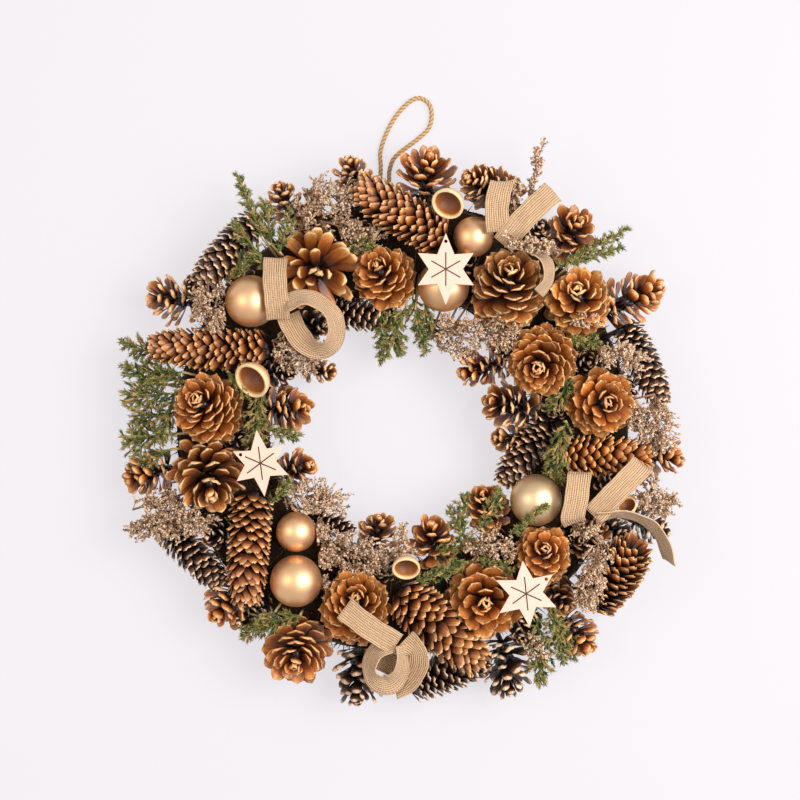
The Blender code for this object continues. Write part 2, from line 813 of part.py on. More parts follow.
def shared_place(first, second, rng):
    """The widest hidden place of the face that two rooms share, and how wide it is there."""
    start, end = nearest_points(first.corners, second.corners)
    normal = closest_direction(first.corners, second.corners)
    near = (first.corners @ normal).max()
    clear = (second.corners @ normal).min() - near
    share = first.room / (first.room + second.room)
    side, other = turned_frame(normal)
    spread = rng.uniform(-TWIG_SEARCH, TWIG_SEARCH, (TWIG_TRIES, 2))
    points = start + share * (end - start) + spread[:, :1] * side + spread[:, 1:] * other
    points += (near + clear * share - points @ normal)[:, None] * normal
    room = np.minimum(spare_room(first, points, second.owner), spare_room(second, points, first.owner))
    radius = np.hypot(points[:, 0], points[:, 1])
    shown = (radius < TWIG_INSIDE) | (radius > TWIG_OUTSIDE)
    shown |= (points[:, 2] < TWIG_LOW) | (points[:, 2] > TWIG_TOP)
    room[shown] = -1
    best = int(np.argmax(room))
    return start, points[best], end, normal, room[best]


def stem_to(claim, targets):
    """Straight way from a soft piece's axis to a neighbour's face, where the piece's own room holds it."""
    ways = []
    for share in np.linspace(0, 1, STEM_TRIES):
        start = claim.corners[0] + share * (claim.corners[1] - claim.corners[0])
        found = []
        for target in targets:
            way = closest_direction(start[None], target.corners)
            found.append((((target.corners - start) @ way).min() - target.skin, tuple(way)))
        reach, way = min(found)
        tip = start + (reach - STEM_GAP) * np.array(way)
        points = np.linspace(start, tip, 9)
        if reach < STEM_LONGEST and spare_room(claim, points, targets[0].owner).min() > STEM_SPARE:
            ways.append((reach, tuple(start), tuple(tip)))
    return min(ways)[1:] if ways else None


def near_claims(claim, others):
    middle = claim.corners.mean(axis=0)
    return [
        other
        for other in others
        if np.linalg.norm(other.corners.mean(axis=0) - middle) < claim.reach() + other.reach() + NEAR
    ]


def give_stem(claim, start, tip):
    claim.stems.append((np.array(start), np.array(tip)))


def seat_on_ring(soft, hard):
    """Gives each soft node its shortest stem to the base ring. Returns the names of those that have one."""
    wedges = [claim for claim in hard if claim.owner == "base_ring"]
    seated = set()
    for name, claims in soft.items():
        ways = []
        for index, claim in enumerate(claims):
            beside = near_claims(claim, wedges)
            way = stem_to(claim, beside) if beside else None
            if way:
                length = float(np.linalg.norm(np.subtract(way[1], way[0])))
                ways.append((length, index, way))
        if ways:
            _, index, way = min(ways)
            give_stem(claims[index], *way)
            seated.add(name)
    return seated


def seat_between(soft, seated, rng):
    """Joins each node that is still loose to a seated neighbour by two stems that meet on their shared face."""
    for name, claims in soft.items():
        if name in seated:
            continue
        ways = []
        for claim in claims:
            others = [other for owner in sorted(seated) for other in soft[owner]]
            for other in near_claims(claim, others):
                start, place, end, normal, width = shared_place(claim, other, rng)
                length = np.linalg.norm(place - start) + np.linalg.norm(place - end)
                if width > STEM_SPARE and length < 2 * STEM_LONGEST:
                    ways.append((length, len(ways), claim, other, start, place, end, normal))
        if ways:
            _, _, claim, other, start, place, end, normal = min(ways, key=lambda way: way[:2])
            give_stem(claim, start, place - STEM_GAP * normal)
            give_stem(other, end, place + STEM_GAP * normal)
            seated.add(name)


def seat_hard(soft, hard, names, seated):
    """Carries each hard piece of these names on a stem of a seated neighbour."""
    for name in names:
        targets = [claim for claim in hard if claim.owner == name]
        ways = []
        for owner in sorted(seated):
            for index, claim in enumerate(soft[owner]):
                way = stem_to(claim, targets)
                if way:
                    ways.append((float(np.linalg.norm(np.subtract(way[1], way[0]))), owner, index, way))
        if ways:
            _, owner, index, way = min(ways)
            give_stem(soft[owner][index], *way)


def face_groups(shape):
    """The faces of a mesh in connected groups, the largest last. Faces that meet at a shared seam are apart."""
    left = set(shape.faces)
    groups = []
    while left:
        group, todo = [], [left.pop()]
        while todo:
            face = todo.pop()
            group.append(face)
            plain = [edge for edge in face.edges if len(edge.link_faces) == 2]
            beside = {other for edge in plain for other in edge.link_faces if other in left}
            left -= beside
            todo += beside
        groups.append(group)
    return sorted(groups, key=len)


def drop_scraps(mesh):
    """Keeps the largest connected body of a mesh."""
    shape = bmesh.new()
    shape.from_mesh(mesh)
    bmesh.ops.remove_doubles(shape, verts=shape.verts, dist=WELD)
    scraps = [face for group in face_groups(shape)[:-1] for face in group]
    bmesh.ops.delete(shape, geom=scraps, context="FACES")
    shape.to_mesh(mesh)
    shape.free()


def joined_mesh(base, others, name):
    """One mesh from overlapping objects, by one union on a collection that is then emptied."""
    extra = bpy.data.collections.new("joined_" + name)
    bpy.context.scene.collection.children.link(extra)
    for obj in others:
        extra.objects.link(obj)
    union = base.modifiers.new("union", "BOOLEAN")
    union.operation = "UNION"
    union.operand_type = "COLLECTION"
    union.collection = extra
    union.solver = "MANIFOLD"
    bpy.context.view_layer.update()
    mesh = bpy.data.meshes.new_from_object(base.evaluated_get(bpy.context.evaluated_depsgraph_get()))
    base.modifiers.remove(union)
    mesh.name = name
    drop_scraps(mesh)
    for obj in others:
        data = obj.data
        bpy.data.objects.remove(obj)
        bpy.data.meshes.remove(data)
    bpy.data.collections.remove(extra)
    return mesh


def is_sound(mesh):
    """Whether a mesh stays one closed body, touching itself nowhere, when its closest points are one."""
    shape = bmesh.new()
    shape.from_mesh(mesh)
    bmesh.ops.triangulate(shape, faces=shape.faces)
    bmesh.ops.remove_doubles(shape, verts=shape.verts, dist=SOUND)
    whole = all(len(edge.link_faces) == 2 for edge in shape.edges) and len(face_groups(shape)) == 1
    shape.free()
    return whole


def build_stalks(name, stalks, claims, collection, material, order):
    """One node of stalks and stems, drawn anew until its union is sound."""
    for draw in range(DRAWS):
        rng = np.random.default_rng((SEED, order, draw))
        node = draw_stalks(name, stalks, claims, collection, material, rng)
        if is_sound(node.data):
            return
        data = node.data
        bpy.data.objects.remove(node)
        bpy.data.meshes.remove(data)
    raise ValueError(f"{name}: no sound union")


def draw_stalks(name, stalks, claims, collection, material, rng):
    """One node of one or more stalks, joined by short twigs."""
    scene = bpy.context.scene.collection
    made = []
    for index, (stalk, claim) in enumerate(zip(stalks, claims)):
        shape = stalk_shape(stalk, rng)
        to_place(shape, stalk, claim, rng)
        mesh = mesh_from(shape, f"{name}_{index}")
        home = scene if index else collection
        made.append(add_object(f"{name}_{index}" if index else name, mesh, home, material, stalk.middle()))
    pieces = []
    for first, second in zip(claims, claims[1:]):
        start, bend, end = shared_place(first, second, rng)[:3]
        pieces += [twig_shape(tip, bend, TWIG_RADIUS, TWIG_RADIUS) for tip in (start, end)]
    if not stalks[0].style.pointed:
        pieces += [twig_shape(start, tip, STEM_TIP, 0) for claim in claims for start, tip in claim.stems]
    for piece in pieces:
        made.append(add_object(f"{name}_twig", mesh_from(piece, f"{name}_twig"), scene, material))
    base = made[0]
    if len(made) > 1:
        for obj in made[1:]:
            scene.objects.unlink(obj)
        base.data = joined_mesh(base, made[1:], name)
    return base


def build_ring(collection, material):
    """The base ring: its section turned round the wreath's axis."""
    mesh = bpy.data.meshes.new("base_ring")
    points = [(r * MM, 0, z * MM) for r, z in ring_profile()]
    count = len(points)
    mesh.from_pydata(points, [(index, (index + 1) % count) for index in range(count)], [])
    ring = add_object("base_ring", mesh, collection, material)
    add_screw(ring, RING_STEPS)


def add_screw(obj, steps):
    screw = obj.modifiers.new("turned", "SCREW")
    screw.steps = steps
    screw.render_steps = steps
    screw.use_merge_vertices = True
    screw.merge_threshold = MERGE
    screw.use_smooth_shade = True


def build_cup(name, x, y, z, turn, rise, radius, collection, material):
    """A seed cup: a thick-walled shell turned round its own axis, its rim at the object's origin."""
    mesh = bpy.data.meshes.new(name)
    points = [(r * MM, 0, h * MM) for r, h in cup_profile(radius)]
    mesh.from_pydata(points, [(index, index + 1) for index in range(len(points) - 1)], [])
    cup = add_object(name, mesh, collection, material, (x, y, z))
    side, other = turned_frame(heading(turn, rise))
    cup.rotation_euler = Matrix((side, other, heading(turn, rise))).transposed().to_euler()
    add_screw(cup, CUP_STEPS)


def cap_ends(z, radius):
    """Heights of a bauble's cap over its middle: from just inside the ball down to the base ring."""
    return CAP_SUNK - radius, RING_TOP + SEAT_GAP - z


def build_bauble(name, x, y, z, radius, collection, material):
    """A ball with its cap underneath, which is seated on the base ring."""
    shape = bmesh.new()
    bmesh.ops.create_uvsphere(shape, u_segments=BAUBLE_SIDES, v_segments=BAUBLE_RINGS, radius=radius * MM)
    ball = add_object(name, mesh_from(shape, name), collection, material, (x, y, z))
    top, bottom = cap_ends(z, radius)
    shape = bmesh.new()
    bmesh.ops.create_cone(
        shape,
        cap_ends=True,
        segments=CAP_SIDES,
        radius1=CAP_RADIUS * MM,
        radius2=CAP_RADIUS * MM,
        depth=(top - bottom) * MM,
    )
    scene = bpy.context.scene.collection
    place = (x, y, z + (top + bottom) / 2)
    cap = add_object(f"{name}_cap", mesh_from(shape, f"{name}_cap"), scene, material, place)
    scene.objects.unlink(cap)
    ball.data = joined_mesh(ball, [cap], name)
    ball.data.shade_smooth()


def curve_spline(curve, points, cyclic=False):
    spline = curve.splines.new("POLY")
    spline.points.add(len(points) - 1)
    for point, place in zip(spline.points, points):
        point.co = (*[value * MM for value in place], 1)
    spline.use_cyclic_u = cyclic
    return spline


def build_star(name, x, y, z, turn, holed, collection, material):
    """A flat six-pointed star with a small hole near one of its tips."""
    curve = bpy.data.curves.new(name, "CURVE")
    curve.dimensions = "2D"
    curve.fill_mode = "BOTH"
    curve.extrude = STAR_THICKNESS / 2 * MM
    curve_spline(curve, [(u, v, 0) for u, v in star_outline()], cyclic=True)
    tip = holed * math.pi / 3
    middle = STAR_TIP - STAR_HOLE_INSET
    ring = []
    for index in range(8):
        angle = index * math.pi / 4
        u = middle * math.cos(tip) + STAR_HOLE * math.cos(angle)
        v = middle * math.sin(tip) + STAR_HOLE * math.sin(angle)
        ring.append((u, v, 0))
    curve_spline(curve, ring, cyclic=True)
    star = add_object(name, curve, collection, material, (x, y, z))
    star.rotation_euler = (0, 0, math.radians(turn))


def strip_object(name, strip, collection, material):
    """One ribbon strip: an open band given its thickness."""
    left, right = strip_edges(strip)
    shape = bmesh.new()
    pairs = [(shape.verts.new(Vector(a) * MM), shape.verts.new(Vector(b) * MM)) for a, b in zip(left, right)]
    for (a, b), (c, d) in zip(pairs, pairs[1:]):
        shape.faces.new((a, b, d, c))
    band = add_object(name, mesh_from(shape, name), collection, material)
    solid = band.modifiers.new("thickness", "SOLIDIFY")
    solid.thickness = RIBBON_THICKNESS * MM
    solid.offset = 0
    return band


def build_bow(name, strips, collection, material):
    """A jute bow: its strips joined where they are gathered."""
    base = strip_object(name, strips[0], collection, material)
    scene = bpy.context.scene.collection
    others = [strip_object(f"{name}_{index}", strip, scene, material) for index, strip in enumerate(strips[1:])]
    if others:
        for obj in others:
            scene.objects.unlink(obj)
        base.data = joined_mesh(base, others, name)
        base.modifiers.clear()


def build_cord(collection, material):
    """The hanging loop of jute cord, slack on the surface."""
    curve = bpy.data.curves.new("jute_hanging_loop", "CURVE")
    curve.dimensions = "3D"
    curve.bevel_depth = CORD_DIAMETER / 2 * MM
    curve.bevel_resolution = 2
    curve.use_fill_caps = True
    curve_spline(curve, cord_route())
    add_object("jute_hanging_loop", curve, collection, material)


def build_knot(collection, material):
    """The knot that gathers both ends of the loop at the ring's outer side."""
    shape = bmesh.new()
    bmesh.ops.create_cone(
        shape,
        cap_ends=True,
        segments=KNOT_SIDES,
        radius1=KNOT_RADIUS * MM,
        radius2=KNOT_RADIUS * MM,
        depth=KNOT_LENGTH * MM,
        matrix=Matrix.Rotation(math.pi / 2, 4, "Y"),
    )
    add_object("cord_knot", mesh_from(shape, "cord_knot"), collection, material, KNOT_PLACE)


def make_material(name, colour, roughness, metallic=0.0):
    material = bpy.data.materials.new(name)
    material.use_nodes = True
    shader = material.node_tree.nodes["Principled BSDF"]
    shader.inputs["Base Color"].default_value = (*[linear(value) for value in colour], 1)
    shader.inputs["Roughness"].default_value = roughness
    shader.inputs["Metallic"].default_value = metallic
    material.diffuse_color = (*[linear(value) for value in colour], 1)
    return material


def linear(value):
    """Linear light from an sRGB value of 0 to 255."""
    value /= 255
    return value / 12.92 if value <= 0.04045 else ((value + 0.055) / 1.055) ** 2.4


def clear_scene():
    for obj in list(bpy.data.objects):
        bpy.data.objects.remove(obj)


def main():
    clear_scene()
    wreath = bpy.data.collections.new("christmas_wreath")
    bpy.context.scene.collection.children.link(wreath)
    straw = make_material("straw", (150, 112, 70), 0.9)
    scale = make_material("cone_scales", (165, 100, 42), 0.55)
    gold = make_material("matt_gold", (217, 162, 87), 0.35, 0.8)
    wood = make_material("pale_wood", (246, 236, 217), 0.7)
    shell = make_material("seed_shell", (200, 150, 95), 0.6)
    jute = make_material("jute", (205, 175, 130), 0.9)
    green = make_material("juniper", (90, 110, 70), 0.7)
    grey = make_material("sea_lavender", (168, 151, 134), 0.8)

    hard = ring_claims() + cord_claims()
    hard += [claim for name, values in BAUBLES.items() for claim in bauble_claims(name, *values)]
    hard += [star_claim(name, *values[:4]) for name, values in STARS.items()]
    hard += [cup_claim(name, *values) for name, values in SEED_CUPS.items()]
    for name, strips in BOWS.items():
        hard += bow_claims(name, strips)

    groups = [(name, [Stalk(*row) for row in rows], scale) for name, rows in CONES.items()]
    for table, style, material in ((LAVENDER_BUNCHES, LAVENDER, grey), (JUNIPER_SPRIGS, JUNIPER, green)):
        groups += [(name, [sprig(style, *row) for row in rows], material) for name, rows in table.items()]
    soft = {
        name: [Claim(stalk.core_ends(), 0.0, stalk.radius, name) for stalk in stalks]
        for name, stalks, _ in groups
    }
    share_out(hard + [claim for claims in soft.values() for claim in claims])
    seated = seat_on_ring(soft, hard)
    for _ in range(SEAT_ROUNDS):
        seat_between(soft, seated, np.random.default_rng(SEED))
    seat_hard(soft, hard, [*BOWS, *SEED_CUPS], seated)
    plates = [star_claim(name, *values[:4], inner=True) for name, values in STARS.items()]
    seat_hard(soft, plates, list(STARS)[1:], seated)

    build_ring(wreath, straw)
    build_cord(wreath, jute)
    build_knot(wreath, jute)
    for name, values in BAUBLES.items():
        build_bauble(name, *values, wreath, gold)
    for name, values in STARS.items():
        build_star(name, *values, wreath, wood)
    for name, values in SEED_CUPS.items():
        build_cup(name, *values, wreath, shell)
    for name, strips in BOWS.items():
        build_bow(name, strips, wreath, jute)
    for order, (name, stalks, material) in enumerate(groups):
        build_stalks(name, stalks, soft[name], wreath, material, order)


main()
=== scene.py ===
import logging
import math
from dataclasses import dataclass, field
from enum import Enum

import bmesh
import bpy
import numpy as np
from mathutils import Matrix, Vector

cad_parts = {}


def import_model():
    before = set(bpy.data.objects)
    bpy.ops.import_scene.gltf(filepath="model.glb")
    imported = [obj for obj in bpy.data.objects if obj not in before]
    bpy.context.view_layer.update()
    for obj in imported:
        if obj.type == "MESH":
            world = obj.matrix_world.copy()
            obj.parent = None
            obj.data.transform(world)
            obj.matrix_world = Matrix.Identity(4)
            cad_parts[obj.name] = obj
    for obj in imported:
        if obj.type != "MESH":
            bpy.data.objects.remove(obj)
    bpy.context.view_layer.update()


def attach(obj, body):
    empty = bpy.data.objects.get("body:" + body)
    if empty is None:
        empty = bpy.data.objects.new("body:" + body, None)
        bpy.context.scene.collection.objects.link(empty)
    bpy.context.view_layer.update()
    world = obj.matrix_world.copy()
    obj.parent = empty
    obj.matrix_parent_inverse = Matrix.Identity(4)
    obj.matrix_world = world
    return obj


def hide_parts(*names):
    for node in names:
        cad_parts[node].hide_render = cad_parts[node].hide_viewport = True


LOG = logging.getLogger("wreath")
Array = np.ndarray
BMesh = bmesh.types.BMesh
Material = bpy.types.Material
Socket = bpy.types.NodeSocket
Inputs = dict[str | int, object]
Point = tuple[float, float, float]
Stops = tuple[tuple[float, str], ...]
Strip = list[tuple[float, float, float, float, float, float]]

MM = 0.001
FULL_CIRCLE = 2 * math.pi
GOLDEN_ANGLE = math.pi * (3 - math.sqrt(5))
# Random turns are drawn from 0 to this many radians
ANY_TURN = 6.3
# Millimetres to a unit of a plate's or a ribbon's own coordinates
UV_MM = 100

# Sizes of the wreath in millimetres, the same as its solids have
RING_INNER, RING_OUTER, RING_TOP, RING_SHOULDER, RING_FALL = 88.0, 148.0, 21.0, 10.0, 9.0
RIBBON_WIDTH, RIBBON_THICKNESS = 15.0, 0.7
STAR_THICKNESS, STAR_HOLE, STAR_HOLE_INSET, STAR_EDGE = 3.0, 1.1, 5.2, 0.2
BAUBLE_LARGE, BAUBLE_SMALL, CAP_RADIUS, CAP_SUNK = 16.6, 12.8, 3.4, 1.2
CORD_DIAMETER, KNOT_LENGTH, KNOT_COIL, KNOT_YARN = 3.0, 13.0, 2.75, 1.42
KNOT_PLACE = (-12.0, 152.4, 8.0)
# Stems stand this far in from the ring's edges, and scraps end this far from what is pinned into it
STEM_INSET, PINNED_CLEAR = 14, 8
FLOOR_CLEAR, RING_CLEAR, SEAT_GAP, HARD_SKIN, RIBBON_SKIN = 0.4, 0.2, 0.3, 0.3, 0.4

# Share of a piece's room that it fills freely, how far soft neighbours reach into each other, the
# least room in millimetres, and how near neighbours have to be to be looked at
FREE_SHARE, SOFT_LAP, LEAST_ROOM, NEAR = 0.92, 4.5, 0.5, 4.0
NOTHING, FAR = 1e-6, 1000.0
# Length of cone in millimetres that the counts of scales are given for, where there is no pitch
USUAL_LENGTH = 38

# What each point of a plant keeps: how far along its part it lies, how far to the side, the part's
# own tone, and its place across the fibres in millimetres
KEPT = ("along", "side", "tone", "fibre")


class Tone(Enum):
    """How light the varnish and gilding leave a cone, from gilded to nearly black."""

    GILDED = 0
    AMBER = 1
    BROWN = 2
    DARK = 3


@dataclass(frozen=True)
class ScaleStyle:
    """How a cone carries its scales. Angles are degrees above the plane square to its axis.

    width is half a scale's width as a share of the cone's radius, thick is its end in millimetres, and
    boss is the raised knob on the outside of its end. Where pitch is given, count is for each pitch of
    the cone's length. point draws the end out to a point from the shoulder on.
    """

    count: float
    core: float
    lean_butt: float
    lean_tip: float
    width: float
    thick: float
    cup: float
    curl: float
    fullness: float
    waist: float
    jitter: float
    full: float
    round: float
    boss: float = 0.0
    wave: float = 0.0
    pitch: float = 0.0
    point: float = 0.0
    shoulder: float = 0.68


class ConeKind(Enum):
    """The kinds of cone on the wreath."""

    NEAT = ScaleStyle(
        count=86, core=0.30, lean_butt=-12, lean_tip=50, width=0.225, thick=1.9, boss=0.2, cup=0.16,
        curl=0.16, fullness=0.80, waist=0.40, jitter=0.10, full=1.08, round=0.97,
    )
    BROAD = ScaleStyle(
        count=66, core=0.28, lean_butt=-14, lean_tip=48, width=0.262, thick=2.0, boss=0.2, cup=0.16,
        curl=0.14, fullness=0.78, waist=0.40, jitter=0.12, full=1.10, round=0.96,
    )
    OPEN = ScaleStyle(
        count=34, core=0.24, lean_butt=-12, lean_tip=58, width=0.160, thick=3.6, boss=1.2, cup=0.05,
        curl=0.22, fullness=0.60, waist=0.75, jitter=0.17, full=1.18, round=0.62,
    )
    RAGGED = ScaleStyle(
        count=54, core=0.28, lean_butt=-10, lean_tip=52, width=0.225, thick=2.2, boss=0.4, cup=0.14,
        curl=0.20, fullness=0.66, waist=0.45, jitter=0.20, full=1.12, round=0.90,
    )
    SMALL = ScaleStyle(
        count=46, core=0.32, lean_butt=-10, lean_tip=54, width=0.265, thick=2.0, boss=0.4, cup=0.14,
        curl=0.20, fullness=0.66, waist=0.45, jitter=0.17, full=1.14, round=0.90,
    )
    LONG = ScaleStyle(
        count=12, core=0.50, lean_butt=22, lean_tip=58, width=0.268, thick=0.65, cup=0.24, curl=0.08,
        fullness=0.38, waist=0.60, jitter=0.08, full=1.08, round=0.88, wave=0.05, pitch=4.8,
        point=0.48, shoulder=0.5,
    )
    FLARED = ScaleStyle(
        count=10, core=0.48, lean_butt=22, lean_tip=62, width=0.270, thick=0.45, cup=0.26, curl=0.06,
        fullness=0.40, waist=0.60, jitter=0.05, full=1.08, round=0.80, wave=0.04, pitch=4.8,
    )


# Short names for the tables of cones
N, B, O, R, S, L, F = ConeKind
G, A, W, D = Tone
ConeRow = tuple[ConeKind, Tone, float, float, float, float, float, float, float]

# Cones by node: kind, tone, x, y, z of the middle, azimuth and rise of the tip, length, radius
CONES = {
    "cones_01": [(O, G, -56, 102, 40, 300, 75, 36, 26), (F, D, -28, 73, 22, 355, 0, 44, 12)],
    "cones_02": [(B, A, -12, 97, 39, 130, 66, 36, 20)],
    "cones_03": [(L, W, 0, 136, 46, 148, 3, 66, 17), (R, W, -31, 161, 26, 110, 35, 28, 13)],
    "cones_04": [(R, A, 15, 159, 28, 85, 40, 34, 19), (N, W, 56, 153, 38, 158, 38, 46, 16)],
    "cones_05": [
        (R, A, 108, 125, 29, 55, 60, 32, 17),
        (B, W, 67, 89, 41, 90, 62, 42, 25),
        (B, G, 113, 81, 39, 110, 68, 38, 22),
        (R, A, 147, 83, 27, 25, 25, 40, 18),
    ],
    "cones_06": [(N, A, 89, 43, 41, 236, 70, 40, 23), (S, A, 51, 39, 26, 195, 25, 32, 13)],
    "cones_07": [(B, A, 127, 16, 38, 0, 80, 34, 22), (F, D, 155, 42, 30, 295, 0, 56, 13)],
    "cones_08": [(L, G, 127, -18, 34, 0, 3, 62, 15), (S, A, 165, -18, 24, 350, 25, 30, 14)],
    "cones_09": [
        (S, W, 70, 14, 28, 165, 35, 32, 16),
        (F, D, 80, -14, 27, 235, 0, 50, 13.5),
        (S, A, 54, -51, 30, 110, 50, 28, 14),
    ],
    "cones_10": [
        (S, D, 161, -65, 18, 340, 20, 24, 11),
        (L, W, 134, -97, 33, 57, 30, 54, 19.5),
        (S, A, 112, -133, 24, 310, 30, 28, 14),
    ],
    "cones_11": [
        (B, A, 90, -81, 38, 90, 75, 34, 19),
        (B, A, 52, -109, 38, 270, 85, 36, 25),
        (R, D, 66, -154, 25, 278, 15, 34, 17),
    ],
    "cones_12": [(L, W, 22, -126, 42, 319, 3, 68, 19), (F, D, 28, -159, 24, 20, 5, 54, 15)],
    "cones_13": [
        (S, A, 19, -73, 30, 95, 45, 28, 15),
        (S, W, -17, -69, 28, 80, 40, 26, 13),
        (F, D, -48, -62, 24, 340, 10, 30, 9),
    ],
    "cones_14": [
        (N, A, -30, -114, 40, 90, 68, 40, 24),
        (R, D, -28, -157, 24, 265, 15, 40, 17),
        (B, A, -68, -142, 32, 262, 55, 30, 22),
    ],
    "cones_15": [(F, D, -137, -81, 28, 315, 5, 54, 13), (S, A, -112, -110, 25, 235, 30, 32, 17)],
    "cones_16": [
        (L, W, -98, -75, 39, 266, 5, 70, 17),
        (R, W, -125, -31, 38, 290, 55, 40, 22),
        (S, A, -165, -30, 22, 200, 30, 28, 14),
    ],
    "cones_17": [
        (S, W, -70, -27, 28, 20, 35, 25, 13),
        (S, A, -76, 12, 28, 0, 30, 27, 16),
        (S, W, -54, 37, 22, 350, 30, 22, 9),
    ],
    "cones_18": [(N, A, -125, 13, 40, 135, 66, 38, 23), (L, W, -123, 51, 37, 178, 0, 76, 16)],
    "cones_19": [
        (R, W, -147, 83, 26, 175, 20, 33, 16),
        (F, D, -111, 115, 36, 227, 0, 56, 14),
        (S, W, -76, 146, 28, 115, 35, 26, 11),
    ],
}

# Bunches of sea lavender: start, end, radius. LAVENDER_WISPS have no solid of their own.
LAVENDER = {
    "sea_lavender_01": [((-60, 150, 36), (-42, 148, 40), 13), ((-50, 132, 40), (-34, 127, 40), 9)],
    "sea_lavender_02": [((82, 139, 34), (87, 180, 44), 5)],
    "sea_lavender_03": [((34, 62, 40), (64, 60, 42), 12)],
    "sea_lavender_04": [((124, 50, 52), (142, 44, 50), 11)],
    "sea_lavender_05": [((161, 18, 44), (164, -6, 40), 12)],
    "sea_lavender_06": [((154, -46, 42), (164, -48, 38), 11)],
    "sea_lavender_07": [((124, -72, 54), (118, -104, 52), 11)],
    "sea_lavender_08": [((-48, -76, 38), (-24, -84, 40), 13)],
    "sea_lavender_09": [((-74, -42, 40), (-50, -46, 38), 12)],
    "sea_lavender_10": [((-172, -62, 36), (-128, -60, 48), 11)],
    "sea_lavender_11": [((-124, 90, 46), (-123, 74, 48), 12)],
    "sea_lavender_12": [((-80, 54, 42), (-62, 45, 42), 13)],
    "sea_lavender_13": [((42, -72, 40), (62, -76, 42), 11)],
}
LAVENDER_WISPS = [
    ((-34, 112, 34), (-18, 122, 38), 8), ((-20, -84, 36), (-2, -78, 40), 8),
    ((108, -62, 42), (120, -66, 44), 7), ((-152, -38, 34), (-146, -52, 38), 8),
    ((-66, 128, 38), (-60, 144, 36), 9), ((78, -132, 36), (88, -144, 34), 8),
    ((20, 60, 34), (34, 66, 38), 8), ((98, 112, 67), (64, 117, 68), 7),
    ((74, 130, 48), (72, 150, 50), 7), ((104, 69, 50), (120, 69, 50), 5),
    ((24, 52, 30), (40, 48, 32), 7), ((146, 20, 40), (150, 0, 40), 8),
    ((-172, -52, 34), (-154, -46, 36), 7), ((146, -30, 42), (158, -34, 42), 6),
    ((-52, -60, 38), (-50, -84, 38), 8), ((-56, -98, 36), (-46, -100, 38), 6),
    ((-150, -58, 34), (-170, -66, 34), 7), ((148, -38, 44), (156, -50, 42), 5),
    ((-4, -78, 36), (0, -67, 36), 5),
]

# Sprigs of juniper: start, end, radius. JUNIPER_TIPS have no solid of their own.
JUNIPER = {
    "juniper_01": [((-90, 122, 46), (-105, 160, 40), 5)],
    "juniper_02": [((98, 102, 48), (143, 127, 42), 4)],
    "juniper_03": [((2, 78, 30), (-14, 46, 24), 7)],
    "juniper_04": [((-150, 22, 34), (-174, 20, 26), 11), ((-150, -4, 34), (-174, -8, 26), 11)],
    "juniper_05": [((-92, 22, 40), (-94, -8, 44), 9)],
    "juniper_06": [((-66, -120, 36), (-92, -128, 38), 8)],
    "juniper_07": [((86, -122, 38), (89, -162, 28), 9)],
    "juniper_08": [((37, -66, 38), (40, -46, 36), 6)],
    "juniper_09": [((104, 4, 48), (94, -26, 48), 8)],
}
JUNIPER_TIPS = [
    ((-140, 30, 32), (-166, 38, 28), 9), ((-148, 10, 34), (-170, 6, 28), 9),
    ((-150, -14, 30), (-172, -24, 26), 8), ((-36, 118, 36), (-22, 116, 42), 7),
    ((108, 32, 42), (96, 14, 44), 7), ((104, -20, 44), (96, -34, 42), 6),
    ((14, 80, 32), (22, 58, 28), 6), ((-14, 78, 30), (-14, 56, 26), 6),
    ((96, -120, 36), (110, -146, 28), 7), ((-82, -118, 36), (-100, -132, 30), 8),
    ((-112, 36, 44), (-100, 24, 48), 6), ((48, -84, 42), (66, -90, 44), 6),
    ((-84, 100, 48), (-106, 130, 54), 7), ((-78, 112, 50), (-72, 136, 48), 6),
    ((106, 104, 50), (138, 115, 46), 4), ((8, 76, 32), (14, 52, 28), 6),
    ((-6, 76, 30), (-2, 50, 26), 6), ((50, -64, 42), (60, -42, 44), 6),
    ((68, -68, 50), (90, -48, 60), 4), ((8, -98, 46), (36, -86, 50), 6),
    ((106, 56, 48), (122, 54, 50), 5), ((-84, -48, 44), (-74, -36, 46), 5),
    ((-84, 118, 44), (-88, 142, 42), 7), ((-150, 44, 32), (-178, 54, 28), 8),
    ((-146, 24, 38), (-154, -6, 40), 8), ((6, 84, 30), (12, 62, 26), 7),
    ((-112, 94, 36), (-98, 108, 46), 7), ((-142, 36, 34), (-164, 28, 32), 9),
    ((20, -80, 34), (46, -73, 38), 6), ((42, -74, 38), (31, -54, 36), 6),
    ((94, -114, 38), (103, -148, 32), 7), ((-164, 30, 34), (-177, 38, 32), 6),
    ((-88, 0, 36), (-70, -5, 36), 6),
]

# Baubles: x, y, z of the middle, radius
BAUBLES = {
    "bauble_large_1": (-97, 81, 42, BAUBLE_LARGE),
    "bauble_large_2": (26, 91, 38, BAUBLE_LARGE),
    "bauble_large_3": (-68.5, -98, 40, BAUBLE_LARGE),
    "bauble_large_4": (85, -46, 42, BAUBLE_LARGE),
    "bauble_small_1": (45, 122, 44, BAUBLE_SMALL),
    "bauble_small_2": (-68.5, -66.6, 38, BAUBLE_SMALL),
}
GOLD, BAUBLE_TINTS = "f9cb9a", {"bauble_large_4": "ecd0a6"}

# Wooden stars: x, y, z of the middle, turn of the first tip, index of the holed tip, reach of the
# two long tips, the four side tips and the notches
STARS = {
    "wooden_star_1": (27, 100.5, 56.4, 90, 0, 22.8, 20.4, 10.8),
    "wooden_star_2": (-90, -22, 56, 97, 1, 21.2, 18.9, 10.0),
    "wooden_star_3": (77.5, -104, 60, 96, 5, 21.0, 20.8, 10.5),
}

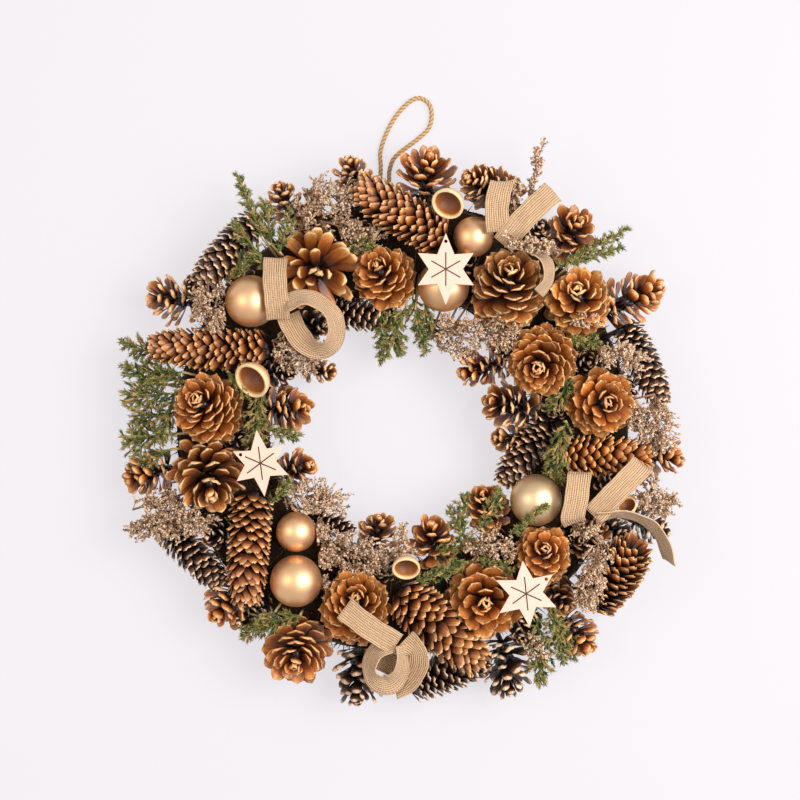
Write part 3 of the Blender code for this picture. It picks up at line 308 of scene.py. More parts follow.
# Seed cups: middle of the rim, azimuth and rise of the opening, radius. EXTRA_CUPS have no solid.
SEED_CUPS = {
    "seed_cup_1": (28, 141, 62, 240, 50, 10.5),
    "seed_cup_2": (-96, 30, 54, 225, 48, 12.0),
    "seed_cup_3": (2, -89, 54, 270, 52, 9.0),
}
EXTRA_CUPS = {"seed_cup_4": (142, -49, 50, 120, 50, 6.5)}

# Jute bows by node: strips of points with the direction of the ribbon's width
BOWS = {
    "jute_bow_1": [
        [
            (-81, 108, 50, 1, 0, 0), (-81, 96, 58, 1, 0, 0), (-80, 84, 61, 1, 0.05, 0),
            (-79, 75, 60, 1, 0.08, 0), (-79, 69, 55, 1, 0.1, 0),
        ],
        [
            (-73, 72, 50, 1, 0.1, 0), (-70, 65, 50, 1, 0.2, 0.1), (-64, 56, 51, 0.8, 0.55, 0.3),
            (-55, 50, 54, 0.25, 0.7, 0.65), (-46, 52, 58, -0.35, 0.5, 0.8),
            (-42, 61, 61, -0.65, 0.15, 0.75), (-44, 71, 64, -0.6, -0.25, 0.75),
            (-52, 79, 65, -0.3, -0.58, 0.75), (-62, 82, 65, 0.1, -0.65, 0.75),
            (-73, 79, 62, 0.3, -0.7, 0.6),
        ],
    ],
    "jute_bow_2": [
        [
            (64, 156, 54, 1, 0.1, 0), (62, 154, 60, 1, 0.1, 0), (59, 140, 62, 1, 0.2, 0),
            (60, 124, 58, 1, 0.2, 0),
        ],
        [
            (63, 116, 58, 0.8, -0.6, 0), (76, 132, 61, 0.75, -0.65, 0), (93, 148, 60, 0.7, -0.7, 0),
            (95, 149, 53, 0.7, -0.7, 0),
        ],
        [
            (66, 117, 57, 0.1, 0.5, -0.85), (79, 113, 60, 0.2, 0.35, -0.92),
            (90, 105, 62, 0.45, 0.2, -0.87), (91, 94, 63, 0.5, 0, -0.87),
            (85, 85, 63, 0.4, -0.25, -0.88),
        ],
    ],
    "jute_bow_3": [
        [
            (112, -28, 53, 1, 0.1, 0), (111, -31, 58, 1, 0.15, 0), (109, -45, 61, 1, 0.12, 0),
            (107, -56, 58, 1, 0.15, 0), (109, -60, 51, 1, 0.25, 0),
        ],
        [
            (151, -22, 52, 0.8, -0.6, 0), (149, -25, 58, 0.8, -0.6, 0), (136, -38, 61, 0.75, -0.65, 0),
            (120, -55, 57, 0.7, -0.7, 0),
        ],
        [
            (122, -56, 56, 0.05, 0.45, 0.88), (140, -54, 56, 0.1, 0.32, 0.94),
            (156, -60, 52, 0.25, 0.3, 0.92), (166, -72, 45, 0.35, 0.12, 0.93),
            (171, -86, 38, 0.35, 0, 0.94),
        ],
    ],
    "jute_bow_4": [
        [
            (-37, -113, 62, 0.5, 0.85, 0), (-21, -125, 65, 0.55, 0.8, 0), (-4, -136, 60, 0.5, 0.85, 0),
        ],
        [
            (-7, -134, 59, 0.6, -0.55, 0.4), (-17, -141, 58, 0.55, -0.3, 0.75),
            (-21, -151, 55, 0.5, 0.1, 0.8), (-17, -160, 53, 0.25, 0.75, 0.55),
            (-9, -162, 53, -0.1, 0.9, 0.4), (-2, -155, 56, -0.5, 0.45, 0.7),
            (0, -145, 59, -0.5, 0.1, 0.8), (1, -136, 61, -0.7, 0, 0.65),
        ],
        [
            (1, -133, 60, 0.9, 0.45, 0.1), (9, -141, 60, 0.8, 0.25, 0.5),
            (9, -151, 56, 0.8, -0.2, 0.55), (3, -161, 50, 0.6, -0.65, 0.5),
            (-5, -166, 46, 0.25, -0.8, 0.5),
        ],
        [
            (-20, -143, 49, 0.3, 0.9, 0.3), (-12, -148, 48, 0.45, 0.85, 0.3),
            (-3, -152, 50, 0.4, 0.85, 0.3),
        ],
    ],
}

# Small cones tucked low between the others: rows as in CONES
TUCKED = [
    (S, D, -26, 122, 27, 60, 60, 24, 11), (S, W, 101, -110, 28, 300, 60, 24, 11),
    (S, D, 79, -129, 26, 250, 55, 24, 11), (S, D, 99, 16, 27, 170, 60, 22, 10),
    (S, D, -120, -68, 26, 200, 60, 24, 10), (S, D, -58, 66, 26, 0, 50, 22, 10),
    (S, D, -13, -90, 26, 90, 60, 22, 9), (S, W, -60, 134, 27, 100, 50, 24, 10),
    (S, D, -80, 36, 26, 0, 50, 24, 10), (S, D, -98, -120, 25, 220, 45, 24, 10),
    (S, D, -106, -8, 27, 0, 70, 22, 9), (S, D, 112, -68, 27, 300, 70, 22, 9),
    (S, D, 116, 42, 27, 0, 70, 22, 9), (S, D, 86, 124, 27, 60, 60, 24, 10),
    (S, D, 67, -84, 27, 90, 60, 22, 9), (S, D, -130, 90, 26, 150, 45, 24, 10),
    (S, D, 40, 105, 26, 90, 60, 22, 9), (S, W, 70, -7, 26, 180, 30, 24, 11),
    (S, W, 121, -71, 25, 60, 45, 26, 12), (S, D, 68, 54, 25, 200, 50, 22, 10),
    (S, D, 142, 25, 25, 300, 55, 22, 10), (S, D, 138, -66, 26, 330, 45, 22, 9),
    (S, D, 134, -37, 33, 60, 60, 22, 10), (S, D, -106, 97, 27, 140, 50, 22, 9),
    (S, D, -100, -100, 26, 180, 60, 20, 8),
]

# Route of the hanging loop
CORD_POINTS = [
    (-15.2, 157, 8), (-14.8, 164, 4.5), (-14.6, 172, 2), (-14.7, 182, 1.7), (-10.9, 193.5, 1.7),
    (-4.5, 205, 1.7), (3.8, 214, 1.7), (10.9, 217, 1.7), (17.3, 213, 1.7), (19, 205.4, 1.7),
    (17, 197, 1.7), (9.6, 189.7, 1.7), (0.5, 183, 1.7), (-6, 177, 1.7), (-8.8, 169, 2.4), (-9, 162, 5),
    (-8.9, 157, 8),
]

# Groups with no solid of their own, and those whose pieces weave in between all the others
EXTRAS = ("tucked_cones", "sea_lavender_wisps", "juniper_tips")
LOOSE = EXTRAS[1:]


# ---------------------------------------------------------------- finishes


def linear(colour: str) -> tuple[float, float, float, float]:
    """Linear light and full cover from an sRGB colour.

    Args:
        colour: Six hex digits.

    Returns:
        Red, green, blue and alpha for a node's socket.
    """
    parts = [int(colour[i : i + 2], 16) / 255 for i in (0, 2, 4)]
    light = [p / 12.92 if p <= 0.04045 else ((p + 0.055) / 1.055) ** 2.4 for p in parts]
    return (*light, 1.0)


@dataclass
class Nodes:
    """The node tree of one material while it is put together."""

    name: str
    material: Material = field(init=False)

    def __post_init__(self) -> None:
        """Makes the material with its shader."""
        self.material = bpy.data.materials.new(self.name)
        self.material.use_nodes = True

    def feed(self, node: bpy.types.Node, inputs: Inputs) -> None:
        """Links or sets inputs of a node.

        Args:
            node: The node.
            inputs: Values or output sockets by the input's name or index.
        """
        for name, value in inputs.items():
            if isinstance(value, Socket):
                self.material.node_tree.links.new(value, node.inputs[name])
            else:
                node.inputs[name].default_value = value

    def add(self, kind: str, inputs: Inputs | None = None, **settings: object) -> bpy.types.Node:
        """Adds a node with its settings and inputs.

        Args:
            kind: The node's type without its common prefix.
            inputs: Values or output sockets by the input's name or index.
            **settings: The node's own properties.

        Returns:
            The new node.
        """
        made = self.material.node_tree.nodes.new("ShaderNode" + kind)
        for name, value in settings.items():
            setattr(made, name, value)
        self.feed(made, inputs or {})
        return made

    def sums(self, operation: str, *values: object, clamp: bool = False) -> Socket:
        """One step of arithmetic on numbers or sockets."""
        node = self.add("Math", dict(enumerate(values)), operation=operation, use_clamp=clamp)
        return node.outputs[0]

    def times(self, first: object, second: object, *plus: object) -> Socket:
        """The product of two numbers or sockets, with a third added where there is one."""
        return self.sums("MULTIPLY_ADD" if plus else "MULTIPLY", first, second, *plus)

    def spread(
        self, value: Socket, low: float, high: float, start: float = 0.0, end: float = 1.0
    ) -> Socket:
        """The run of values from low to high turned into the run from start to end."""
        return self.add("MapRange", dict(enumerate((value, low, high, start, end)))).outputs[0]

    def ramp(self, factor: Socket, stops: Stops) -> Socket:
        """A run of colours over a factor.

        Args:
            factor: The socket that picks the colour.
            stops: Places from 0 to 1 with their hex colours.

        Returns:
            The colour socket.
        """
        made = self.add("ValToRGB", {0: factor})
        elements = made.color_ramp.elements
        while len(elements) < len(stops):
            elements.new(0.5)
        for element, (place, colour) in zip(elements, stops):
            element.position = place
            element.color = linear(colour)
        return made.outputs[0]

    def attribute(self, name: str) -> Socket:
        """The number that the piece keeps under this name at each point."""
        return self.add("Attribute", attribute_name=name).outputs["Fac"]

    def noise(self, size_mm: float, detail: float = 3.0) -> Socket:
        """Noise from 0 to 1 in the piece's own space.

        Args:
            size_mm: About how large its features are.
            detail: How many finer layers it has.

        Returns:
            The noise.
        """
        place = self.add("TexCoord").outputs["Object"]
        inputs = {"Vector": place, "Scale": 1 / (size_mm * MM), "Detail": detail, "Roughness": 0.55}
        return self.add("TexNoise", inputs).outputs["Fac"]

    def texture(self, place: Socket, detail: float) -> Socket:
        """Noise from 0 to 1 over any coordinates, with features one unit across."""
        return self.add("TexNoise", {"Vector": place, "Scale": 1.0, "Detail": detail}).outputs["Fac"]

    def mix(self, factor: object, first: object, second: object, blend: str = "MIX") -> Socket:
        """Two colours mixed by a factor."""
        inputs = {0: factor, 6: first, 7: second}
        return self.add("Mix", inputs, data_type="RGBA", blend_type=blend).outputs[2]

    def bump(self, height: Socket, depth_mm: float) -> Socket:
        """Normals from a height of 0 to 1 that stands for this depth."""
        inputs = {"Height": height, "Distance": depth_mm * MM, "Strength": 1.0}
        return self.add("Bump", inputs).outputs[0]

    def finish(self, colour: object, rough: object, others: Inputs | None = None) -> Material:
        """Gives the shader its inputs.

        Args:
            colour: The base colour.
            rough: The roughness.
            others: Its other inputs by name.

        Returns:
            The finished material.
        """
        shader = self.material.node_tree.nodes["Principled BSDF"]
        self.feed(shader, {"Base Color": colour, "Roughness": rough} | (others or {}))
        return self.material


@dataclass(frozen=True)
class ConeFinish:
    """Open conifer cones, kiln-dried and varnished, some brushed with gilding on their rims.

    A scale is nearly black at its root, partly its own colour and partly painted shade deep between the
    scales, reddish brown along its face, and pale at its thick rim, partly wear on the varnish and
    partly a painted highlight where the rim catches the light.
    """

    name: str
    root: str
    face: str
    body: str
    rim: str
    edge: str
    coat: float = 0.35
    gilding: float = 0.8
    roughness: float = 0.36
    rim_wear_and_highlight_from: float = 0.92
    gilt: str = "dfa25a"

    def material(self) -> Material:
        """Runs the colours along each scale, from painted shade at the root to a pale rim that is
        partly a painted highlight, with wood streaks, a tone of its own and a thin varnish.

        Returns:
            The material.
        """
        nodes = Nodes(self.name)
        along, side, tone, fibre = (nodes.attribute(name) for name in KEPT)
        # Fibres about 0.9 mm apart that run out along each scale, and blotches of about 5 mm
        spot = {0: nodes.times(fibre, 1.1), 1: nodes.times(along, 2.6), 2: nodes.times(tone, 37.0)}
        streaks = nodes.texture(nodes.add("CombineXYZ", spot).outputs[0], 3.0)
        blotches = nodes.noise(5.0)
        place = nodes.sums("ADD", along, nodes.times(blotches, 0.16, -0.08))
        # Painted shade: the near-black root stands partly for the shade deep between the scales
        stops = ((0.18, self.root), (0.44, self.face), (0.70, self.body), (0.93, self.rim))
        colour = nodes.ramp(place, stops)
        # The pale rim, about a millimetre wide, round the end and the sides: partly wear on the
        # varnish, partly a painted highlight
        flank = nodes.spread(side, 0.80, 0.96, end=0.85)
        front = nodes.spread(along, self.rim_wear_and_highlight_from, self.rim_wear_and_highlight_from + 0.07)
        patchy = nodes.times(blotches, 1.2, 0.3)
        rim = nodes.sums("MULTIPLY", nodes.sums("MAXIMUM", flank, front), patchy, clamp=True)
        colour = nodes.mix(rim, colour, linear(self.edge))
        # Painted glints: flecks under a millimetre across, in the pale edge colour, on the outer half
        # of the scale, standing for the sparkle of the varnish
        painted_glint = nodes.spread(nodes.noise(0.8, 2.0), 0.58, 0.70)
        outer = nodes.spread(along, 0.55, 0.85, end=0.5)
        colour = nodes.mix(nodes.times(painted_glint, outer), colour, linear(self.edge))
        # Gilding sprayed on in drifts of about 9 mm, only where it could reach
        drift = nodes.spread(nodes.noise(9.0, 2.0), 0.50, 0.68, end=self.gilding)
        colour = nodes.mix(nodes.times(drift, outer), colour, linear(self.gilt))
        light = nodes.times(nodes.times(tone, 0.84, 0.57), nodes.times(streaks, 1.1, 0.45))
        shade = nodes.add("CombineColor", {0: light, 1: light, 2: light}).outputs[0]
        colour = nodes.mix(1.0, colour, shade, "MULTIPLY")
        rough = nodes.times(blotches, 0.3, self.roughness - 0.15)
        varnish = {"Coat Weight": self.coat, "Coat Roughness": 0.24}
        return nodes.finish(colour, rough, {"Normal": nodes.bump(streaks, 0.4)} | varnish)


CONE_FINISHES = {
    Tone.GILDED: ConeFinish(
        "gilded_cone", "331508", "803f15", "bd6d2c", "dd9e58", "f4cf98", coat=0.35, gilding=1.2
    ),
    Tone.AMBER: ConeFinish("amber_cone", "301307", "743711", "ad5f27", "cf8a48", "ecbd86"),
    Tone.BROWN: ConeFinish(
        "brown_cone", "2b1308", "643216", "9a5829", "c5854a", "edc592", coat=0.3, rim_wear_and_highlight_from=0.89
    ),
    Tone.DARK: ConeFinish(
        "dark_cone", "0c0503", "1e0e08", "381c0f", "62391f", "e8c6a4",
        coat=0.15, gilding=0.25, roughness=0.45, rim_wear_and_highlight_from=0.87,
    ),
}


@dataclass(frozen=True)
class BaubleFinish:
    """Blown glass bauble with a matt gold lacquer: soft, broad highlights on a warm metal colour."""

    name: str
    colour: str
    pale: str = "fff0cf"
    rim_reflection_tint: str = "b4702c"

    def material(self) -> Material:
        """Lays a metallic lacquer with a barely visible mottle of about 6 mm.

        Returns:
            The material.
        """
        nodes = Nodes(self.name)
        mottle = nodes.times(nodes.noise(6.0, 2.0), 0.12)
        colour = nodes.mix(mottle, linear(self.colour), linear(self.pale))
        rough = nodes.times(nodes.noise(0.8), 0.05, 0.42)
        # Painted reflection: the orange specular tint warms and darkens the rims as the surrounding
        # cones would
        return nodes.finish(colour, rough, {"Metallic": 0.95, "Specular Tint": linear(self.rim_reflection_tint)})


@dataclass(frozen=True)
class CapFinish:
    """Stamped and crimped brass-coloured cap of a bauble, with fine scratches of about 0.6 mm."""

    colour: str = "c9a25c"

    def material(self) -> Material:
        """Metal with the scratches in its roughness.

        Returns:
            The material.
        """
        nodes = Nodes("stamped_brass_cap")
        rough = nodes.times(nodes.noise(0.6), 0.2, 0.28)
        return nodes.finish(linear(self.colour), rough, {"Metallic": 1.0})


@dataclass(frozen=True)
class PlywoodFinish:
    """Laser-cut birch plywood, bare: cream with faint grain and an asterisk of thin burnt lines."""

    half_length: float = 10.6
    half_width: float = 0.42
    grain: Point = (14.0, 160.0, 1.0)
    burn: str = "3a2f22"

    def material(self) -> Material:
        """Stretches the grain along the plate's own coordinates and burns the lines across it.

        Returns:
            The material.
        """
        nodes = Nodes("birch_plywood")
        plate = nodes.add("UVMap", uv_map="plate").outputs[0]
        grain = nodes.texture(nodes.add("Mapping", {0: plate, 3: self.grain}).outputs[0], 4.0)
        colour = nodes.ramp(grain, ((0.25, "e4baa7"), (0.75, "f3cdbb")))
        u, v = nodes.add("SeparateXYZ", {0: plate}).outputs[:2]
        lines = []
        for third in range(3):
            cos, sin = math.cos(third * math.pi / 3), math.sin(third * math.pi / 3)
            long = nodes.sums("ADD", nodes.times(u, cos), nodes.times(v, sin))
            wide = nodes.sums("SUBTRACT", nodes.times(v, cos), nodes.times(u, sin))
            near = nodes.sums("LESS_THAN", nodes.sums("ABSOLUTE", wide), self.half_width / UV_MM)
            within = nodes.sums("LESS_THAN", nodes.sums("ABSOLUTE", long), self.half_length / UV_MM)
            lines.append(nodes.times(near, within))
        burnt = nodes.sums("MAXIMUM", nodes.sums("MAXIMUM", lines[0], lines[1]), lines[2])
        colour = nodes.mix(burnt, colour, linear(self.burn))
        height = nodes.sums("SUBTRACT", nodes.times(grain, 0.3), burnt)
        return nodes.finish(colour, 0.54, {"Normal": nodes.bump(height, 0.25)})


@dataclass(frozen=True)
class SeedShellFinish:
    """Dried seed pod, sawn open and polished: a thick cream rim round a smooth brown hollow."""

    # The hollow darkens down to its bottom: partly the shell's own brown, partly painted shade deep in
    # the recess
    hollow: Stops = ((0.0, "efd0a0"), (0.12, "dcae70"), (0.24, "a0602a"), (1.0, "4a220c"))
    husk: Stops = ((0.3, "b98550"), (0.7, "dfb57e"))

    def material(self) -> Material:
        """Runs cream at the rim to dark brown down the hollow, with fibrous tan outside.

        Returns:
            The material.
        """
        nodes = Nodes("dried_seed_shell")
        depth, outside = nodes.attribute("along"), nodes.attribute("tone")
        fibre = nodes.noise(1.2, 4.0)
        place = nodes.sums("ADD", depth, nodes.times(fibre, 0.16, -0.08))
        colour = nodes.mix(outside, nodes.ramp(place, self.hollow), nodes.ramp(fibre, self.husk))
        return nodes.finish(colour, 0.45, {"Normal": nodes.bump(fibre, 0.3)})


@dataclass(frozen=True)
class JuteWeave:
    """Loose plain-woven jute ribbon: coarse pairs of yarn along it, with thin weft, and painted shade
    in the gaps between the yarns.
    """

    warp_mm: float = 1.45
    weft_mm: float = 1.1
    slub: Point = (90.0, 12.0, 1.0)
    gap: str = "7a5c3a"
    yarn: Stops = ((0.1, "c39d76"), (0.5, "e2c09c"), (0.9, "f6dfc2"))

    def material(self) -> Material:
        """Weaves the yarns over the ribbon's own coordinates, with slubs and open gaps.

        Returns:
            The material.
        """
        nodes = Nodes("woven_jute")
        ribbon = nodes.add("UVMap", uv_map="ribbon").outputs[0]
        slub = nodes.texture(nodes.add("Mapping", {0: ribbon, 3: self.slub}).outputs[0], 3.0)
        u, v = nodes.add("SeparateXYZ", {0: ribbon}).outputs[:2]
        across = nodes.sums("ADD", u, nodes.times(slub, 0.010, -0.005))
        yarns = []
        for value, pitch in ((across, self.warp_mm), (v, self.weft_mm)):
            turn = nodes.times(value, FULL_CIRCLE * UV_MM / pitch)
            yarns.append(nodes.times(nodes.sums("SINE", turn), 0.5, 0.5))
        warp, weft = yarns
        lift = nodes.times(weft, 0.30, nodes.times(warp, nodes.times(slub, 0.7, 0.5)))
        thread = nodes.ramp(nodes.times(nodes.noise(0.9, 4.0), 0.8, -0.1), self.yarn)
        # Painted shade: where the yarns dip, the colour runs to the dark gap colour
        colour = nodes.mix(nodes.spread(lift, 0.05, 0.42), linear(self.gap), thread)
        opening = {"Alpha": nodes.spread(lift, 0.02, 0.10, start=0.25)}
        cloth = {"Sheen Weight": 0.15, "Normal": nodes.bump(lift, 0.5)}
        return nodes.finish(colour, 0.88, opening | cloth)


@dataclass(frozen=True)
class JuteCordFinish:
    """Three-ply jute twine: matt tan fibre, with painted shade down between its plies."""

    stops: Stops = ((0.15, "6e4a28"), (0.55, "b68c5c"), (0.95, "dcbd8e"))

    def material(self) -> Material:
        """Runs from painted shade in the grooves between the plies to their paler backs, with fibres of
        about 0.5 mm.

        Returns:
            The material.
        """
        nodes = Nodes("jute_twine")
        ridge, fibre = nodes.attribute("along"), nodes.noise(0.5, 4.0)
        # Painted shade: the grooves between the plies are darker
        place = nodes.sums("ADD", nodes.times(ridge, 0.7), nodes.times(fibre, 0.35))
        return nodes.finish(nodes.ramp(place, self.stops), 0.9, {"Normal": nodes.bump(fibre, 0.3)})


@dataclass(frozen=True)
class DryPlantFinish:
    """Air-dried plant: matt, with each small part a tone of its own."""

    name: str
    stops: Stops
    roughness: float = 0.85

    def material(self) -> Material:
        """Lets the part's tone pick its colour, with flecks of about 1 mm.

        Returns:
            The material.
        """
        nodes = Nodes(self.name)
        place = nodes.sums("ADD", nodes.attribute("tone"), nodes.times(nodes.noise(1.0), 0.2, -0.1))
        return nodes.finish(nodes.ramp(place, self.stops), self.roughness, {"Specular IOR Level": 0.25})


LAVENDER_FINISH = DryPlantFinish(
    "dried_sea_lavender", ((0.0, "50382b"), (0.3, "a28066"), (0.6, "d8b797"), (1.0, "f9e3cb"))
)
JUNIPER_FINISH = DryPlantFinish(
    "dried_juniper",
    ((0.0, "2a3f20"), (0.26, "4c6639"), (0.46, "7f8a4e"), (0.66, "b39a5c"), (1.0, "dfc48e")),
    0.7,
)
# The darkest straw colours are painted shade for the ring's top between the cones
STRAW_FINISH = DryPlantFinish(
    "bound_straw", ((0.0, "1a1109"), (0.3, "3d2a17"), (0.6, "7d6035"), (1.0, "c4a263")), 0.8
)
SCRAPS_FINISH = DryPlantFinish(
    "dried_moss_and_needles",
    ((0.0, "17110a"), (0.35, "3c2f18"), (0.6, "6e5a30"), (0.85, "a98c5a"), (1.0, "cfb388")),
    0.9,
)
BINDING_FINISH = DryPlantFinish("binding_twine", ((0.0, "4b3a24"), (1.0, "8c7048")), 0.85)


# ---------------------------------------------------------------- shapes


@dataclass(frozen=True)
class Shape:
    """A small closed shape from bmesh operators, kept as arrays so that it can be copied often."""

    points: Array
    loops: Array
    sizes: Array


def shape_of(mesh: BMesh) -> Shape:
    """The arrays of a bmesh, which is freed.

    Args:
        mesh: The bmesh.

    Returns:
        Its points and faces.
    """
    bmesh.ops.recalc_face_normals(mesh, faces=mesh.faces)
    mesh.verts.index_update()
    points = np.array([vert.co for vert in mesh.verts], float)
    sizes = np.array([len(face.verts) for face in mesh.faces])
    loops = np.array([vert.index for face in mesh.faces for vert in face.verts])
    mesh.free()
    return Shape(points, loops, sizes)


def slab_shape(along: int, across: int) -> Shape:
    """A thin closed slab, x from 0 to 1, y from -1 to 1 and z of -0.5 and 0.5.

    Args:
        along: Faces along x.
        across: Faces along y.

    Returns:
        The slab.
    """
    slab = bmesh.new()
    bmesh.ops.create_grid(slab, x_segments=along, y_segments=across, size=1.0)
    bmesh.ops.solidify(slab, geom=slab.faces[:], thickness=1.0)
    middle = sum(vert.co.z for vert in slab.verts) / len(slab.verts)
    for vert in slab.verts:
        vert.co = ((vert.co.x + 1) / 2, vert.co.y, math.copysign(0.5, vert.co.z - middle))
    return shape_of(slab)


def stick_shape(foot: float, top: float) -> Shape:
    """A straight closed stick with three sides, z from 0 to 1.

    Args:
        foot: Its radius at 0.
        top: Its radius at 1.

    Returns:
        The stick, which ends in a point where its radius is 0.
    """
    stick = bmesh.new()
    lift = Matrix.Translation((0, 0, 0.5))
    sizes = {"radius1": foot, "radius2": top, "depth": 1}
    bmesh.ops.create_cone(stick, cap_ends=True, segments=3, matrix=lift, **sizes)
    bmesh.ops.remove_doubles(stick, verts=stick.verts, dist=0.0001)
    return shape_of(stick)


@dataclass(frozen=True)
class Kit:
    """The plants' small shapes: a stem or core, a needle, leaf or fine stem, and a dried calyx."""

    stick: Shape = field(default_factory=lambda: stick_shape(1, 1))
    thorn: Shape = field(default_factory=lambda: stick_shape(1, 0))
    floret: Shape = field(default_factory=lambda: stick_shape(0.22, 0.62))


def keep_values(mesh: bpy.types.Mesh, **values: Array) -> None:
    """Keeps one number a point on a mesh under each name.

    Args:
        mesh: The mesh.
        **values: The numbers by the name that the finishes read.
    """
    for name, kept in values.items():
        layer = mesh.attributes.new(name, "FLOAT", "POINT")
        layer.data.foreach_set("value", np.asarray(kept, np.float32))


@dataclass
class Heap:
    """Copies of small shapes gathered into one mesh. Lengths are in millimetres."""

    points: list[Array] = field(default_factory=list)
    loops: list[Array] = field(default_factory=list)
    sizes: list[Array] = field(default_factory=list)
    values: dict[str, list[Array]] = field(default_factory=lambda: {name: [] for name in KEPT})
    count: int = 0

    def add(self, shape: Shape, places: Array, **values: Array | float) -> None:
        """Adds copies of a shape.

        Args:
            shape: The shape that is copied.
            places: The points of every copy, as copies by points by three.
            **values: What each point keeps, by its name in KEPT.
        """
        copies, points = places.shape[:2]
        first = self.count + np.arange(copies)[:, None] * points
        self.loops.append((shape.loops[None] + first).ravel())
        self.sizes.append(np.tile(shape.sizes, copies))
        self.points.append(places.reshape(-1, 3))
        for name, kept in self.values.items():
            kept.append(np.broadcast_to(values.get(name, 0.0), (copies, points)).ravel())
        self.count += copies * points

    def span(
        self, shape: Shape, starts: Array, ends: Array, radius: float, **values: Array | float
    ) -> None:
        """Adds copies that each reach from one point to another.

        Args:
            shape: The shape that is copied, which stands on z from 0 to 1.
            starts: Where the copies start, or one point.
            ends: Where they end.
            radius: What a radius of 1 becomes.
            **values: What each point keeps, by its name in KEPT.
        """
        starts, ends = np.atleast_2d(starts), np.atleast_2d(ends)
        ways = ends - starts
        places = set_up(shape, starts, unit(ways), np.linalg.norm(ways, axis=1), radius)
        self.add(shape, places, **values)

    def mesh(self, name: str) -> bpy.types.Mesh:
        """The mesh of all the copies.

        Args:
            name: The mesh's name.

        Returns:
            The mesh, in metres and shaded smooth.
        """
        mesh = bpy.data.meshes.new(name)
        points, loops = np.concatenate(self.points) * MM, np.concatenate(self.loops)
        sizes = np.concatenate(self.sizes)
        starts = np.concatenate(((0,), np.cumsum(sizes)[:-1]))
        mesh.vertices.add(len(points))
        mesh.vertices.foreach_set("co", points.astype(np.float32).ravel())
        mesh.loops.add(len(loops))
        mesh.polygons.add(len(sizes))
        mesh.polygons.foreach_set("loop_start", starts.astype(np.int32))
        mesh.polygons.foreach_set("vertices", loops.astype(np.int32))
        keep_values(mesh, **{value: np.concatenate(kept) for value, kept in self.values.items()})
        mesh.update(calc_edges=True)
        mesh.shade_smooth()
        return mesh


def unit(vectors: Array) -> Array:
    """Vectors made one long."""
    return vectors / np.maximum(np.linalg.norm(vectors, axis=-1, keepdims=True), NOTHING)


def ramp_up(values: Array, start: float, width: float) -> Array:
    """How far values have risen from start towards one width further on, from 0 to 1."""
    return np.clip((values - start) / width, 0, 1)


def belly(share: Array, start: float, run: float, power: float) -> Array:
    """How full an egg-shaped form is at a share of its length, where 1 is its widest."""
    return np.sin(math.pi * (start + run * share)) ** power


def around(angle: Array | float, side: Array, other: Array) -> Array:
    """Directions at these angles from one direction towards another square to it."""
    return np.cos(angle)[..., None] * side + np.sin(angle)[..., None] * other


def frames(ways: Array, turn: Array | float = 0.0) -> tuple[Array, Array]:
    """Two directions square to each way.

    Args:
        ways: Unit vectors.
        turn: How far the pair is turned about its way, in radians.

    Returns:
        The two directions for each way.
    """
    helper = np.where(np.abs(ways[..., 2:]) < 0.9, (0.0, 0.0, 1.0), (0.0, 1.0, 0.0))
    side = unit(np.cross(helper, ways))
    other = np.cross(ways, side)
    return around(turn, side, other), around(turn, other, -side)


def set_up(
    shape: Shape,
    roots: Array,
    ways: Array,
    length: Array,
    width: Array | float,
    turn: Array | float = 0.0,
) -> Array:
    """Copies of a shape that stands on z from 0 to 1, each along its own way.

    Args:
        shape: The shape.
        roots: Where each copy starts.
        ways: Unit vector of each copy.
        length: Length of each copy.
        width: What a radius of 1 becomes on each copy.
        turn: Turn of each copy about its way.

    Returns:
        The points of every copy.
    """
    side, other = frames(ways, turn)
    x, y, z = shape.points.T[:, None, :, None]
    wide, long = (np.broadcast_to(size, len(roots))[:, None, None] for size in (width, length))
    return roots[:, None] + long * z * ways[:, None] + wide * (x * side[:, None] + y * other[:, None])


def heading(turn: float, rise: float) -> Array:
    """Unit vector with this azimuth from +X and this angle above the horizontal, in degrees."""
    turn, rise = math.radians(turn), math.radians(rise)
    return np.array((math.cos(rise) * math.cos(turn), math.cos(rise) * math.sin(turn), math.sin(rise)))


def reach_along(points: Array) -> Array:
    """Length of a route up to each of its points."""
    return np.concatenate(((0,), np.cumsum(np.linalg.norm(np.diff(points, axis=0), axis=1))))


def smooth_route(points: list[Point] | Array, per_span: int) -> Array:
    """A Catmull-Rom curve through points.

    Args:
        points: The points.
        per_span: Parts between two of them.

    Returns:
        The curve's points.
    """
    points = np.array(points, float)
    padded = np.vstack((2 * points[0] - points[1], points, 2 * points[-1] - points[-2]))
    route = []
    for index in range(len(points) - 1):
        a, b, c, d = padded[index : index + 4]
        for part in range(per_span):
            t = part / per_span
            even = 2 * b + (c - a) * t + (2 * a - 5 * b + 4 * c - d) * t**2
            route.append(0.5 * even + 0.5 * (3 * b - a - 3 * c + d) * t**3)
    route.append(points[-1])
    return np.array(route)


def even_route(points: list[Point], step: float) -> Array:
    """Evenly spread points along the smooth curve through points.

    Args:
        points: The points.
        step: How far apart the new points are.

    Returns:
        The new points.
    """
    fine = smooth_route(points, 24)
    reach = reach_along(fine)
    wanted = np.linspace(0, reach[-1], round(reach[-1] / step) + 1)
    return np.column_stack([np.interp(wanted, reach, fine[:, axis]) for axis in range(3)])


def strip_course(strip: Strip, per_span: int) -> tuple[Array, Array]:
    """Middle line and width directions of a ribbon strip.

    Args:
        strip: Points with the direction of the ribbon's width.
        per_span: Parts between two points.

    Returns:
        Points of the middle line and unit vectors across it.
    """
    rows = np.array(strip, float)
    middle, width = smooth_route(rows[:, :3], per_span), smooth_route(rows[:, 3:], per_span)
    way = unit(np.gradient(middle, axis=0))
    return middle, unit(width - (width * way).sum(axis=1)[:, None] * way)


